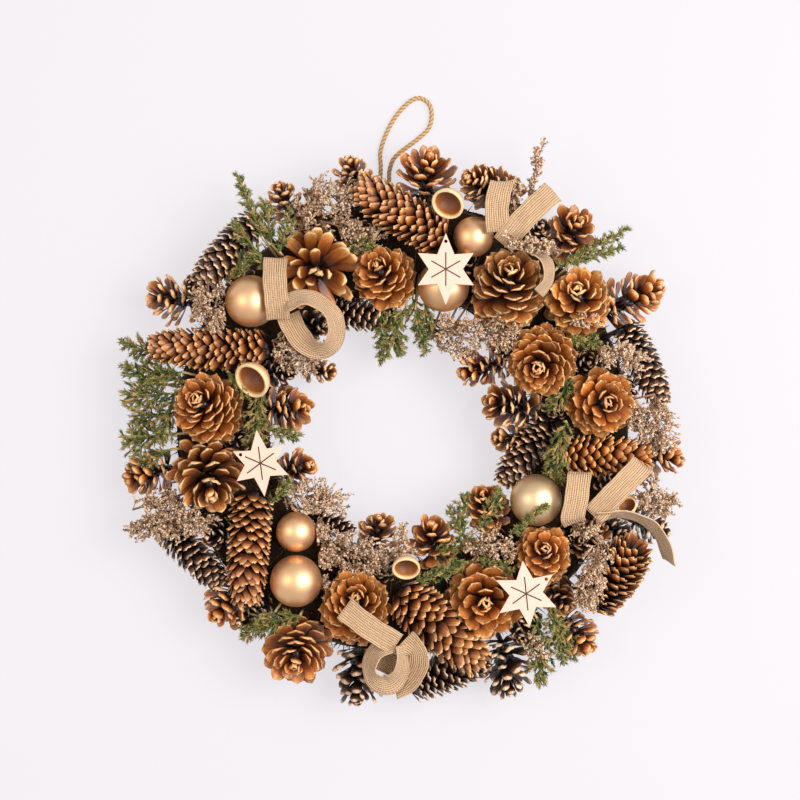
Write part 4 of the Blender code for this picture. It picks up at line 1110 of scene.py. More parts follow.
def ring_top(points: Array) -> Array:
    """Height of the base ring's top under points, or just above the floor beside the ring.

    Args:
        points: The points.

    Returns:
        A height for each.
    """
    radius = np.hypot(points[..., 0], points[..., 1])
    inward = np.minimum(radius - RING_INNER, RING_OUTER - radius)
    slope = RING_TOP - RING_FALL + RING_FALL * np.clip(inward / RING_SHOULDER, 0, 1)
    return np.where(inward > 0, slope, FLOOR_CLEAR)


def foot_on_ring(place: Array, sunk: float) -> Array:
    """Where a stem stands on the ring.

    Args:
        place: What the stem carries.
        sunk: How far its foot goes in below the ring's top.

    Returns:
        The foot of the stem.
    """
    radius = np.hypot(place[0], place[1])
    inset = np.clip(radius, RING_INNER + STEM_INSET, RING_OUTER - STEM_INSET) / radius
    return np.array((*(place[:2] * inset), RING_TOP - sunk))


# ---------------------------------------------------------------- rooms


def closest_direction(first: Array, second: Array) -> Array:
    """The shortest way from one convex set of corners to another, found corner by corner.

    Args:
        first: Corners of the first.
        second: Corners of the second.

    Returns:
        Unit vector from the first to the second.
    """
    gap = second.mean(axis=0) - first.mean(axis=0)
    for _ in range(120):
        corner = second[np.argmin(second @ gap)] - first[np.argmax(first @ gap)]
        step = gap - corner
        reach = float(step @ step)
        if reach < NOTHING**2:
            break
        share = min(max(float(gap @ step) / reach, 0.0), 1.0)
        if share < 0.1 * NOTHING:
            break
        gap = gap - share * step
    return gap / max(np.linalg.norm(gap), NOTHING)


@dataclass
class Room:
    """The convex core of a piece, its skin or the room that it asks for, and what bounds that room."""

    corners: Array
    skin: float
    asked: float = 0.0
    normals: list[Array] = field(default_factory=list)
    limits: list[float] = field(default_factory=list)
    hard: list[bool] = field(default_factory=list)

    @classmethod
    def slim(cls, middle: Array, axis: Array, length: float, radius: float) -> "Room":
        """The room of a cone or a sprig.

        Args:
            middle: Its middle.
            axis: Its direction.
            length: Its length.
            radius: How far it reaches to the side.

        Returns:
            A core on the axis, short of both ends, that asks for the radius round it.
        """
        half = max(length / 2 - 0.7 * radius, 0.1 * length)
        return cls(np.array((middle - half * axis, middle + half * axis)), 0.0, radius)

    def reach(self) -> float:
        """How far from its middle the piece may reach."""
        spread = np.linalg.norm(self.corners - self.corners.mean(axis=0), axis=1).max()
        return float(spread + self.skin + self.asked * 1.3)

    def share_with(self, others: "list[Room]") -> None:
        """Sets the planes that keep the piece clear of each neighbour.

        Args:
            others: Every other room.
        """
        middle = self.corners.mean(axis=0)
        for other in others:
            apart = np.linalg.norm(other.corners.mean(axis=0) - middle)
            if other is self or apart > self.reach() + other.reach() + NEAR:
                continue
            normal = closest_direction(self.corners, other.corners)
            own = float((self.corners @ normal).max())
            clear = float((other.corners @ normal).min()) - other.skin - own
            part = self.asked / (self.asked + other.asked)
            lap = SOFT_LAP if other.asked else -SEAT_GAP
            self.normals.append(normal)
            self.limits.append(own + clear * part + lap)
            self.hard.append(not other.asked)

    def press(self, points: Array) -> Array:
        """Brings points back into the room, each along its way out from the core.

        Args:
            points: The points.

        Returns:
            The points, the outermost pressed together rather than cut off.
        """
        if not self.normals:
            return points
        start, end = self.corners[0], self.corners[-1]
        way = end - start
        share = np.clip((points - start) @ way / max(way @ way, NOTHING), 0, 1)
        nearest = start + share[:, None] * way
        out = points - nearest
        reach = np.maximum(np.linalg.norm(out, axis=1), NOTHING)
        out = out / reach[:, None]
        normals = np.array(self.normals)
        rate = out @ normals.T
        room = np.maximum(np.array(self.limits) - nearest @ normals.T, LEAST_ROOM)
        limit = np.where(rate > NOTHING, room / np.maximum(rate, NOTHING), FAR).min(axis=1)
        free = FREE_SHARE * limit
        over = np.maximum(reach - free, 0)
        rest = limit - free
        return nearest + out * (np.minimum(reach, free) + rest * over / (over + rest))[:, None]

    def trim(self, points: Array) -> Array:
        """Brings points that stand in a hard neighbour or in the ring back to its face.

        Args:
            points: The points.

        Returns:
            The points, clear of both.
        """
        points = points.copy()
        for normal, limit, hard in zip(self.normals, self.limits, self.hard):
            if hard:
                over = np.maximum(points @ normal - limit, 0)
                points -= over[..., None] * normal
        points[..., 2] = np.maximum(points[..., 2], ring_top(points) + RING_CLEAR)
        return points


# ---------------------------------------------------------------- pieces


def add_object(name: str, data: bpy.types.ID) -> bpy.types.Object:
    """A new object in the scene.

    Args:
        name: Its name.
        data: The mesh, curve, light or camera that it shows.

    Returns:
        The object.
    """
    made = bpy.data.objects.new(name, data)
    bpy.context.scene.collection.objects.link(made)
    return made


def set_piece(
    name: str, mesh: bpy.types.Mesh, materials: list[Material], nodes: tuple[str, ...]
) -> bpy.types.Object:
    """Makes a finished piece from its mesh.

    Args:
        name: The piece's name.
        mesh: Its mesh, in place.
        materials: Its materials.
        nodes: The solids that it stands for.

    Returns:
        The piece.
    """
    for material in materials:
        mesh.materials.append(material)
    piece = add_object(name, mesh)
    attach(piece, "root")
    if nodes:
        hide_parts(*nodes)
    LOG.info("%s: %d faces", name, len(mesh.polygons))
    return piece


def mesh_of(shape: BMesh, name: str) -> bpy.types.Mesh:
    """The mesh of a bmesh, which is freed.

    Args:
        shape: The bmesh in millimetres.
        name: The mesh's name.

    Returns:
        The mesh, in metres and shaded smooth.
    """
    bmesh.ops.scale(shape, vec=(MM, MM, MM), verts=shape.verts)
    mesh = bpy.data.meshes.new(name)
    shape.to_mesh(mesh)
    shape.free()
    mesh.shade_smooth()
    return mesh


def swept(rings: Array) -> BMesh:
    """A closed tube through rings of points, drawn out ring by ring.

    Args:
        rings: Rings by points by three, all with the same number of points.

    Returns:
        The tube with its ends closed.
    """
    tube = bmesh.new()
    sides = rings.shape[1]
    bmesh.ops.create_circle(tube, segments=sides, radius=1)
    rim = list(tube.edges)
    for index, ring in enumerate(rings):
        if index:
            made = bmesh.ops.extrude_edge_only(tube, edges=rim)["geom"]
            rim = [item for item in made if isinstance(item, bmesh.types.BMEdge)]
        tube.verts.ensure_lookup_table()
        for vert, place in zip(tube.verts[index * sides :], ring):
            vert.co = place
    bmesh.ops.holes_fill(tube, edges=[edge for edge in tube.edges if edge.is_boundary])
    bmesh.ops.recalc_face_normals(tube, faces=tube.faces)
    return tube


def turned(section: list[tuple[float, float]], steps: int, closed: bool) -> BMesh:
    """A half section turned all the way round the z axis.

    Args:
        section: Corners as radius and height.
        steps: Faces round the circle.
        closed: Whether the last corner joins the first.

    Returns:
        The turned shell.
    """
    shell = bmesh.new()
    verts = [shell.verts.new((radius, 0, height)) for radius, height in section]
    edges = [shell.edges.new((verts[i - 1], verts[i])) for i in range(0 if closed else 1, len(verts))]
    spin = {"cent": (0, 0, 0), "axis": (0, 0, 1), "angle": FULL_CIRCLE, "steps": steps}
    bmesh.ops.spin(shell, geom=verts + edges, use_merge=True, **spin)
    bmesh.ops.remove_doubles(shell, verts=shell.verts, dist=0.01)
    bmesh.ops.recalc_face_normals(shell, faces=shell.faces)
    return shell


@dataclass
class Cone:
    """A conifer cone: a slim core with scales set round it in a golden-angle spiral."""

    name: str
    kind: ConeKind
    tone: Tone
    middle: Array
    axis: Array
    length: float
    radius: float
    seed: int
    stem: float = 2.0
    stem_sunk: float = 1.5

    @classmethod
    def of_row(cls, name: str, row: ConeRow, seed: int) -> "Cone":
        """A cone from a row of the tables.

        Args:
            name: The piece's name.
            row: The row.
            seed: The start of its random draws.

        Returns:
            The cone.
        """
        kind, tone, x, y, z, turn, rise, length, radius = row
        middle = np.array((x, y, z), float)
        return cls(name, kind, tone, middle, heading(turn, rise), length, radius, seed)

    def room(self) -> Room:
        """The cone's core, from which its scales reach out."""
        return Room.slim(self.middle, self.axis, self.length, self.radius)

    def core(self, share: Array) -> Array:
        """Radius of the core at a share of the cone's length."""
        return self.radius * self.kind.value.core * belly(share, 0.18, 0.72, 0.7)

    def heap(self, room: Room, scale: Shape, stick: Shape) -> Heap:
        """All the scales, pressed into the cone's room, and the core.

        Args:
            room: The cone's room with its neighbours' planes.
            scale: The slab that every scale is bent from.
            stick: The stick for the core and the stem.

        Returns:
            The copies.
        """
        style, rng = self.kind.value, np.random.default_rng(self.seed)
        rows = self.length / style.pitch if style.pitch else (self.length / USUAL_LENGTH) ** 0.5
        count = round(style.count * rows)
        share = (np.arange(count) + 0.5) / count
        angle = GOLDEN_ANGLE * np.arange(count) + rng.uniform(0, ANY_TURN)
        angle += rng.normal(0, 0.4 * style.jitter, count)
        sway = 1 + style.jitter * rng.uniform(-1, 1, count)
        # The last scales of a short cone close over its tip
        shut = np.zeros(count) if style.pitch else ramp_up(share, 0.84, 0.16)
        lean = style.lean_butt + (style.lean_tip - style.lean_butt) * share**1.2 + 34 * shut
        lean = np.radians(lean) + rng.normal(0, style.jitter, count)
        core = self.core(share)
        full = style.full * self.radius * belly(share, 0.24, 0.68, style.fullness)
        flattest = 0.62 if style.pitch else 0.85
        reach = np.maximum(full - core, 0.24 * self.radius) / np.maximum(np.cos(lean), flattest) * sway
        # Each scale's root, its way out as pressed by the neighbours, and the directions across it
        side, other = frames(self.axis)
        radial, across = around(angle, side, other), around(angle, other, -side)
        height = (0.92 * share - 0.5) * self.length
        inset = core * (0.75 - 0.6 * shut)
        root = self.middle + height[:, None] * self.axis + inset[:, None] * radial
        out = room.press(root + reach[:, None] * around(lean, radial, self.axis)) - root
        long = np.linalg.norm(out, axis=1)
        out = unit(out)
        squeeze = np.clip(long / reach, 0.45, 1.1)
        up = unit(np.cross(out, across))
        up *= np.sign((up * self.axis).sum(axis=1) + 1e-9)[:, None]
        roll = rng.normal(0, 1.2 * style.jitter, count)
        across, up = around(roll, across, up), around(roll, up, -across)
        half = style.width * self.radius * (0.25 + 0.75 * np.minimum(full / self.radius, 1.0))
        half *= (0.55 + 0.45 * squeeze) * (1 + 0.10 * rng.uniform(-1, 1, count))
        # The blade widens from its waist to the shoulder and thickens towards its end
        u, v, w = scale.points.T[:, None]
        u = 1 - (1 - u) ** 1.35
        end = ramp_up(u, style.shoulder, 1 - style.shoulder)
        blade = style.waist + (1 - style.waist) * ramp_up(u, 0, 0.68) ** 1.2
        broad = blade * np.sqrt(1 - style.round * end**2) * (1 - style.point * end)
        swell = 0.14 + 0.86 * ramp_up(u, 0.50, 0.36) ** 1.4
        thick = style.thick * swell * (1 - 0.42 * v**2) * (1 - 0.50 * ramp_up(u, 0.90, 0.10))
        thick = thick * (1.15 - 0.45 * share)[:, None]
        ragged = 0.012 * end * np.sin(4.2 * v + rng.uniform(0, ANY_TURN, (count, 1)))
        ends = 1 - 0.04 * v**2 * end + ragged
        wave = style.wave * np.sin(3 * math.pi * v + rng.uniform(0, ANY_TURN, (count, 1))) * u**2
        lift = style.curl * long[:, None] * u**2.4
        lift = lift + style.cup * half[:, None] * v**2 * u + half[:, None] * wave
        boss = np.where(w < 0, -style.boss * np.exp(-((u - 0.90) ** 2) / 0.010 - v**2 / 0.16), 0.0)
        places = (
            root[:, None]
            + (long[:, None] * u * ends)[..., None] * out[:, None]
            + (half[:, None] * broad * v)[..., None] * across[:, None]
            + (lift + squeeze[:, None] * (thick * w + boss))[..., None] * up[:, None]
        )
        heap = Heap()
        tone = np.clip(rng.normal(0.5, 0.22, (count, 1)), 0, 1)
        shown = 1 - 1.3 * (1 - u) if style.point else u
        kept = {"along": shown, "side": np.abs(v) * u, "tone": tone, "fibre": half[:, None] * v}
        heap.add(scale, room.trim(places), **kept)
        self.add_core(heap, room, stick)
        return heap

    def add_core(self, heap: Heap, room: Room, stick: Shape) -> None:
        """Adds the dark core, in three tapered lengths, and the wired stem down to the ring.

        Args:
            heap: Where the copies go.
            room: The cone's room.
            stick: The stick that they are made of.
        """
        side, other = frames(self.axis)
        cuts = np.linspace(0.02, 0.9, 4)
        wide = self.core(cuts)
        x, y, z = stick.points.T[:, None, :, None]
        low, first = cuts[:-1, None, None], wide[:-1, None, None]
        height = (0.86 * (low + np.diff(cuts)[:, None, None] * z) - 0.5) * self.length
        girth = first + np.diff(wide)[:, None, None] * z
        places = self.middle + height * self.axis + girth * (x * side + y * other)
        # The core takes the root's near-black colour, painted shade deep inside the cone
        heap.add(stick, room.trim(places), along=0.12, tone=0.4)
        butt = self.middle - 0.45 * self.length * self.axis
        heap.span(stick, foot_on_ring(butt, self.stem_sunk), butt, self.stem, along=0.25, tone=0.4)


@dataclass
class Sprig:
    """A dried sprig between two points, filling a slim egg of this radius round its axis."""

    start: Point
    end: Point
    radius: float
    seed: int

    def course(self) -> tuple[Array, Array, float]:
        """The sprig's axis.

        Returns:
            Where it starts, its unit vector and its length.
        """
        start, end = np.array((self.start, self.end), float)
        length = float(np.linalg.norm(end - start))
        return start, (end - start) / length, length

    def room(self) -> Room:
        """The sprig's axis, short of its ends, and the room that it asks for."""
        start, axis, length = self.course()
        return Room.slim(start + length / 2 * axis, axis, length, self.radius)

    def foot(self) -> Array:
        """Where the sprig is tucked into the ring."""
        return foot_on_ring(np.array(self.start, float), 2)

    def fill(self, heap: Heap, room: Room, kit: Kit) -> None:
        """Adds all that the sprig is made of.

        Args:
            heap: Where the copies go.
            room: The sprig's room.
            kit: The shapes that it is made of.
        """
        raise NotImplementedError


@dataclass
class LavenderSprig(Sprig):
    """Sea lavender: wiry branching stems with a cloud of tiny papery calyces. Radii in millimetres."""

    sprays: int = 6
    heads: int = 5
    foot_stem: float = 0.8
    main_stem: float = 0.55
    twig: float = 0.28
    spray: float = 0.24

    def fill(self, heap: Heap, room: Room, kit: Kit) -> None:
        """Adds the stems, the fine sprays on them and the florets along each spray.

        Args:
            heap: Where the copies go.
            room: The sprig's room.
            kit: The shapes that it is made of.
        """
        rng = np.random.default_rng(self.seed)
        start, axis, length = self.course()
        whole = length + 1.4 * self.radius
        twigs = max(12, round(0.085 * self.radius * whole))
        base = start - axis * 0.3 * self.radius
        along = rng.uniform(0.0, 0.75, twigs)
        out = around(rng.uniform(0, FULL_CIRCLE, twigs), *frames(axis))
        girth = self.radius * belly(np.minimum(along + 0.25, 1), 0.16, 0.74, 0.6)
        roots = base + (along * whole)[:, None] * axis
        forward = 0.30 * whole * rng.uniform(0.4, 1.0, (twigs, 1))
        reach = girth[:, None] * out * rng.uniform(0.5, 1.0, (twigs, 1))
        tips = room.press(roots + reach + axis * forward)
        heap.span(kit.stick, self.foot(), base, self.foot_stem, tone=0.25)
        heap.span(kit.stick, base, base + 0.8 * whole * axis, self.main_stem, tone=0.3)
        heap.span(kit.stick, roots, tips, self.twig, tone=0.3)
        # The sprays, a few on each twig, that lean up to the light
        parent = np.repeat(np.arange(twigs), self.sprays)
        count = len(parent)
        joint = roots[parent] + rng.uniform(0.30, 1.0, (count, 1)) * (tips - roots)[parent]
        way = unit(tips - roots)[parent] + 0.9 * unit(rng.normal(0, 1, (count, 3))) + (0, 0, 0.25)
        far = room.press(joint + rng.uniform(0.22, 0.50, (count, 1)) * self.radius * unit(way))
        heap.span(kit.thorn, joint, far, self.spray, tone=0.5)
        # The florets, in a row along each spray
        bend = unit(np.cross(far - joint, rng.normal(0, 1, (count, 3))))
        spray = np.repeat(np.arange(count), self.heads)
        heads = len(spray)
        part = np.tile(np.linspace(0.30, 1.05, self.heads), count)[:, None]
        part = part + rng.normal(0, 0.05, (heads, 1))
        at = joint[spray] + part * (far - joint)[spray] + 0.5 * part * bend[spray]
        at += rng.normal(0, 0.22, (heads, 3))
        ways = unit(far - joint)[spray] + 0.7 * bend[spray] + rng.normal(0, 0.4, (heads, 3))
        size = rng.uniform(1.0, 1.7, heads)
        tone = np.clip(rng.normal(0.56, 0.24, (heads, 1)), 0.03, 1)
        places = set_up(kit.floret, at, unit(ways), size, 0.95 * size, rng.uniform(0, ANY_TURN, heads))
        heap.add(kit.floret, room.trim(places), tone=tone)


@dataclass
class JuniperSprig(Sprig):
    """Juniper: a woody twig and branchlets set with small pressed leaves. Radii in millimetres."""

    wood: float = 1.0
    branchlet: float = 0.42
    leaf: float = 0.46
    leaf_step: float = 1.05

    def fill(self, heap: Heap, room: Room, kit: Kit) -> None:
        """Adds the twig, its branchlets and their leaves.

        Args:
            heap: Where the copies go.
            room: The sprig's room.
            kit: The shapes that it is made of.
        """
        rng = np.random.default_rng(self.seed)
        start, axis, length = self.course()
        whole = length + 0.5 * self.radius
        heap.span(kit.stick, self.foot(), start, self.wood, tone=0.9)
        first = max(12, round(whole / 1.6))
        share = np.linspace(0.02, 0.96, first) + rng.normal(0, 0.01, first)
        out = around(GOLDEN_ANGLE * np.arange(first), *frames(axis))
        roots = start + (share * whole)[:, None] * axis
        girth = self.radius * (0.45 + 0.9 * np.sin(math.pi * np.clip(share + 0.12, 0, 1)) ** 0.7)
        lean = rng.uniform(0.9, 1.35, (first, 1))
        tips = roots + girth[:, None] * unit(out + lean * axis) * rng.uniform(0.8, 1.25, (first, 1))
        tips = room.press(tips)
        # Smaller branchlets leave each branchlet at four places
        all_roots, all_tips = [roots, start[None]], [tips, (start + whole * axis)[None]]
        for part in (0.2, 0.4, 0.6, 0.8):
            joints = roots + part * (tips - roots)
            bend = unit(tips - roots) + 0.9 * unit(rng.normal(0, 1, tips.shape))
            reach = 0.42 * np.linalg.norm(tips - roots, axis=1)
            all_roots.append(joints)
            all_tips.append(room.press(joints + reach[:, None] * unit(bend)))
        roots, tips = np.concatenate(all_roots), np.concatenate(all_tips)
        heap.span(kit.thorn, roots, tips, self.branchlet, tone=0.5)
        # Leaves in pairs on both sides, drier and tan towards some of the ends
        dry = np.clip(rng.normal(0.70, 0.32, len(roots)), 0, 1)
        counts = np.maximum((np.linalg.norm(tips - roots, axis=1) / self.leaf_step).astype(int), 2)
        branch = np.repeat(np.arange(len(roots)), counts)
        place = np.concatenate([np.arange(count) / count for count in counts])
        ways = unit(tips - roots)[branch]
        at = roots[branch] + place[:, None] * (tips - roots)[branch]
        for half in (0.0, math.pi):
            beside, _ = frames(ways, GOLDEN_ANGLE * np.arange(len(branch)) + half)
            size = rng.uniform(2.6, 4.4, len(branch)) * (1.05 - 0.35 * place)
            tone = 0.12 + 0.42 * dry[branch] + 0.45 * dry[branch] * place
            tone = np.clip(tone + rng.normal(0, 0.07, len(branch)), 0, 1)
            places = set_up(kit.thorn, at, unit(ways + 0.46 * beside), size, self.leaf)
            heap.add(kit.thorn, room.trim(places), tone=tone[:, None], along=place[:, None])


@dataclass
class Bauble:
    """A matt gold bauble with its crimped cap, which is pinned down into the ring."""

    name: str
    middle: Point
    radius: float
    colour: str
    crimp: float = 0.9

    def rooms(self) -> list[Room]:
        """The ball and its cap.

        Returns:
            A room for each.
        """
        x, y, z = self.middle
        cap = np.array([(x, y, z - self.radius + CAP_SUNK), (x, y, RING_TOP + 2)], float)
        return [Room(np.array([self.middle], float), self.radius), Room(cap, CAP_RADIUS + SEAT_GAP)]

    def build(self, cap_material: Material) -> None:
        """Makes the ball and the cap as one piece.

        Args:
            cap_material: The finish of the cap.
        """
        x, y, z = self.middle
        ball = bmesh.new()
        place = Matrix.Translation(self.middle)
        bmesh.ops.create_uvsphere(ball, u_segments=56, v_segments=36, radius=self.radius, matrix=place)
        faces = set(ball.faces)
        top, bottom = z - self.radius + CAP_SUNK, RING_TOP + SEAT_GAP
        place = Matrix.Translation((x, y, (top + bottom) / 2))
        sizes = {"radius1": CAP_RADIUS, "radius2": CAP_RADIUS, "depth": top - bottom}
        bmesh.ops.create_cone(ball, cap_ends=True, segments=32, matrix=place, **sizes)
        cap = [face for face in ball.faces if face not in faces]
        rims = {vert for face in cap for vert in face.verts}
        rims = sorted(rims, key=lambda vert: math.atan2(vert.co.y - y, vert.co.x - x))
        # Every second pair of corners, above and below, is drawn in
        for index, vert in enumerate(rims):
            if index // 2 % 2:
                vert.co.x = x + self.crimp * (vert.co.x - x)
                vert.co.y = y + self.crimp * (vert.co.y - y)
        for face in cap:
            face.material_index = 1
        gold = BaubleFinish(f"matt_gold_{self.name}", self.colour).material()
        mesh = mesh_of(ball, self.name)
        set_piece(f"{self.name}_ball", mesh, [gold, cap_material], (self.name,))


@dataclass
class Star:
    """A six-pointed star cut from thin plywood, with a hole for its thread near one tip."""

    name: str
    middle: Point
    turn: float
    holed: int
    long_tip: float
    side_tip: float
    notch: float

    def outline(self) -> list[tuple[float, float]]:
        """The star in its own plane.

        Returns:
            Its corners, tips and notches in turn.
        """
        third = (self.long_tip, self.notch, self.side_tip, self.notch, self.side_tip, self.notch)
        turns = [i * math.pi / 6 for i in range(12)]
        return [(reach * math.cos(a), reach * math.sin(a)) for reach, a in zip(third * 2, turns)]

    def room(self) -> Room:
        """The plate between the tips.

        Returns:
            Its room.
        """
        along, across = heading(self.turn, 0), heading(self.turn + 90, 0)
        thick = np.array((0, 0, STAR_THICKNESS / 2))
        tips = [np.array(self.middle) + u * along + v * across for u, v in self.outline()[::2]]
        return Room(np.array([tip + side * thick for tip in tips for side in (-1, 1)]), 0.0)

    def build(self, material: Material) -> None:
        """Makes the plate from its flat outline and hole, with softly broken edges.

        Args:
            material: Its finish.
        """
        curve = bpy.data.curves.new(self.name, "CURVE")
        curve.dimensions, curve.fill_mode = "2D", "BOTH"
        curve.extrude, curve.offset = (STAR_THICKNESS / 2 - STAR_EDGE) * MM, -STAR_EDGE * MM
        curve.bevel_depth, curve.bevel_resolution = STAR_EDGE * MM, 2
        tip = self.holed * math.pi / 3
        reach = (self.side_tip if self.holed % 3 else self.long_tip) - STAR_HOLE_INSET
        x, y = reach * math.cos(tip), reach * math.sin(tip)
        rim = np.linspace(0, FULL_CIRCLE, 20, endpoint=False)
        hole = [(x + STAR_HOLE * math.cos(a), y + STAR_HOLE * math.sin(a)) for a in rim]
        for ring in (self.outline(), hole):
            spline = curve.splines.new("POLY")
            spline.points.add(len(ring) - 1)
            for point, (u, v) in zip(spline.points, ring):
                point.co = (u * MM, v * MM, 0, 1)
            spline.use_cyclic_u = True
        flat = add_object(self.name + "_flat", curve)
        graph = bpy.context.evaluated_depsgraph_get()
        mesh = bpy.data.meshes.new_from_object(flat.evaluated_get(graph))
        bpy.data.objects.remove(flat)
        layer = mesh.uv_layers.new(name="plate")
        for loop in mesh.loops:
            place = mesh.vertices[loop.vertex_index].co
            layer.data[loop.index].uv = (place.x / MM / UV_MM, place.y / MM / UV_MM)
        turn = Matrix.Rotation(math.radians(self.turn), 4, "Z")
        mesh.transform(Matrix.Translation(Vector(self.middle) * MM) @ turn)
        mesh.set_sharp_from_angle(angle=math.radians(35))
        set_piece(f"{self.name}_plate", mesh, [material], (self.name,))


@dataclass
class SeedCup:
    """A dried seed shell, open like a cup, with a thick rounded rim."""

    name: str
    middle: Point
    axis: Array
    radius: float
    wall_share: float = 0.17
    depth_share: float = 0.95

    def room(self) -> Room:
        """The cup's outer form, in rings of corners from its rim down.

        Returns:
            Its room.
        """
        around_rim = around(np.linspace(0, FULL_CIRCLE, 12, endpoint=False), *frames(self.axis))
        rings = []
        for turn in np.radians((0, 30, 60, 90)):
            deep = self.depth_share * self.radius * math.sin(turn) * self.axis
            rings.append(np.array(self.middle) - deep + self.radius * math.cos(turn) * around_rim)
        return Room(np.concatenate(rings), HARD_SKIN)

    def build(self, material: Material, nodes: tuple[str, ...]) -> None:
        """Makes the shell by turning its half section.

        Args:
            material: Its finish.
            nodes: The solid that it stands for, if it has one.
        """
        wall, depth = self.wall_share * self.radius, self.depth_share * self.radius
        angles = np.linspace(0, math.pi / 2, 10)
        inner = [((self.radius - wall) * math.sin(a), (wall - depth) * math.cos(a)) for a in angles]
        lip = [
            (self.radius - wall / 2 - wall / 2 * math.cos(a), 0.4 * wall * math.sin(a))
            for a in np.linspace(0, math.pi, 6)[1:-1]
        ]
        outer = [(self.radius * math.sin(a), -depth * math.cos(a)) for a in angles[::-1]]
        shell = turned(inner + lip + outer, 40, False)
        own = np.array([vert.co for vert in shell.verts])
        from_middle = np.hypot(np.hypot(own[:, 0], own[:, 1]), own[:, 2] * self.radius / depth)
        outside = from_middle > self.radius - 0.6 * wall
        level = np.clip(-own[:, 2] / depth, 0, 1)
        place = Matrix((*frames(self.axis), self.axis)).transposed().to_4x4()
        bmesh.ops.transform(shell, matrix=Matrix.Translation(self.middle) @ place, verts=shell.verts)
        mesh = mesh_of(shell, self.name)
        keep_values(mesh, along=np.where(outside, 0, level), tone=outside * ramp_up(level, 0.12, 1 / 6))
        set_piece(f"{self.name}_shell", mesh, [material], nodes)


@dataclass
class Bow:
    """A bow of loose jute ribbon: looped and folded strips caught together."""

    name: str
    strips: list[Strip]
    columns: int = 12
    per_span: int = 10

    def rooms(self) -> list[Room]:
        """The ribbon in short flat lengths.

        Returns:
            A room for each.
        """
        rooms = []
        for strip in self.strips:
            middle, width = strip_course(strip, 2)
            half = width * RIBBON_WIDTH / 2
            edges = np.stack((middle - half, middle + half), axis=1)
            for i in range(len(edges) - 1):
                corners = edges[i : i + 2].reshape(-1, 3)
                rooms.append(Room(corners, RIBBON_THICKNESS / 2 + RIBBON_SKIN))
        return rooms

    def build(self, material: Material) -> None:
        """Lays each strip as a sheet with its own weave coordinates.

        Args:
            material: The ribbon's finish.
        """
        for number, strip in enumerate(self.strips, 1):
            middle, width = strip_course(strip, self.per_span)
            reach = reach_along(middle)
            normal = unit(np.cross(width, np.gradient(middle, axis=0)))
            last = len(middle) - 1
            band = bmesh.new()
            bmesh.ops.create_grid(band, x_segments=self.columns, y_segments=last, size=1.0)
            layer = band.loops.layers.uv.new("ribbon")
            places = {
                vert: ((vert.co.x + 1) / 2, round((vert.co.y + 1) / 2 * last)) for vert in band.verts
            }
            for face in band.faces:
                for loop in face.loops:
                    column, row = places[loop.vert]
                    loop[layer].uv = (column * RIBBON_WIDTH / UV_MM, reach[row] / UV_MM)
            for vert, (column, row) in places.items():
                aside = column - 0.5
                # The selvedges curl down a little and wander
                drop = 0.25 * math.sin(reach[row] / 3.1 + 5 * aside) - 0.5 * (2 * aside) ** 2
                edge = RIBBON_WIDTH * aside * (1 + 0.02 * math.sin(reach[row] / 2.3))
                vert.co = middle[row] + width[row] * edge + normal[row] * drop
            bmesh.ops.recalc_face_normals(band, faces=band.faces)
            mesh = mesh_of(band, f"{self.name}_{number}")
            piece = set_piece(f"{self.name}_strip_{number}", mesh, [material], (self.name,))
            solid = piece.modifiers.new("thickness", "SOLIDIFY")
            solid.thickness, solid.offset = RIBBON_THICKNESS * MM, 0


@dataclass
class Twine:
    """Jute twine: three plies twisted together, swept along a route."""

    radius: float = CORD_DIAMETER / 2
    lay: float = 9.0
    sides: int = 18

    def mesh(self, name: str, route: Array) -> bpy.types.Mesh:
        """The twine's mesh along a route.

        Args:
            name: The mesh's name.
            route: Points about a millimetre apart.

        Returns:
            A closed tube with three twisted ridges.
        """
        ways = unit(np.gradient(route, axis=0))
        side = np.zeros_like(route)
        side[0] = frames(ways[0])[0]
        for i in range(1, len(route)):
            side[i] = unit(side[i - 1] - (side[i - 1] @ ways[i]) * ways[i])
        other = np.cross(ways, side)
        angle = np.linspace(0, FULL_CIRCLE, self.sides, endpoint=False)[None]
        ridge = np.abs(np.cos(1.5 * (angle - FULL_CIRCLE * reach_along(route)[:, None] / self.lay)))
        reached = self.radius * (0.80 + 0.22 * ridge)
        rings = route[:, None] + reached[..., None] * around(angle, side[:, None], other[:, None])
        mesh = mesh_of(swept(rings), name)
        keep_values(mesh, along=ridge.ravel())
        return mesh


@dataclass
class HangingLoop:
    """The loop of twine that the wreath hangs by, lying slack, and the knot that gathers its ends."""

    twine: Twine = field(default_factory=Twine)
    whipping: Twine = field(default_factory=lambda: Twine(KNOT_YARN, 6.0, 12))
    whipping_turns: float = 3.3

    def rooms(self) -> list[Room]:
        """The loop in short lengths, a room for each."""
        route = even_route(CORD_POINTS, 7.5)
        return [Room(route[i : i + 2], CORD_DIAMETER / 2 + HARD_SKIN) for i in range(len(route) - 1)]

    def build(self, material: Material) -> None:
        """Makes the knot, then the loop that leaves it.

        Args:
            material: The twine's finish.
        """
        angle = np.linspace(0, self.whipping_turns * FULL_CIRCLE, 150)
        half = KNOT_LENGTH / 2 - 1.6
        across, up = KNOT_COIL * np.cos(angle), KNOT_COIL * np.sin(angle)
        coil = np.column_stack((np.linspace(-half, half, 150), across, up))
        knot = self.whipping.mesh("cord_knot", coil + KNOT_PLACE)
        set_piece("cord_knot_turns", knot, [material], ("cord_knot",))
        route = even_route(CORD_POINTS, 1.0)
        mesh = self.twine.mesh("hanging_loop", route)
        loop = set_piece("hanging_loop_twine", mesh, [material], ("jute_hanging_loop",))


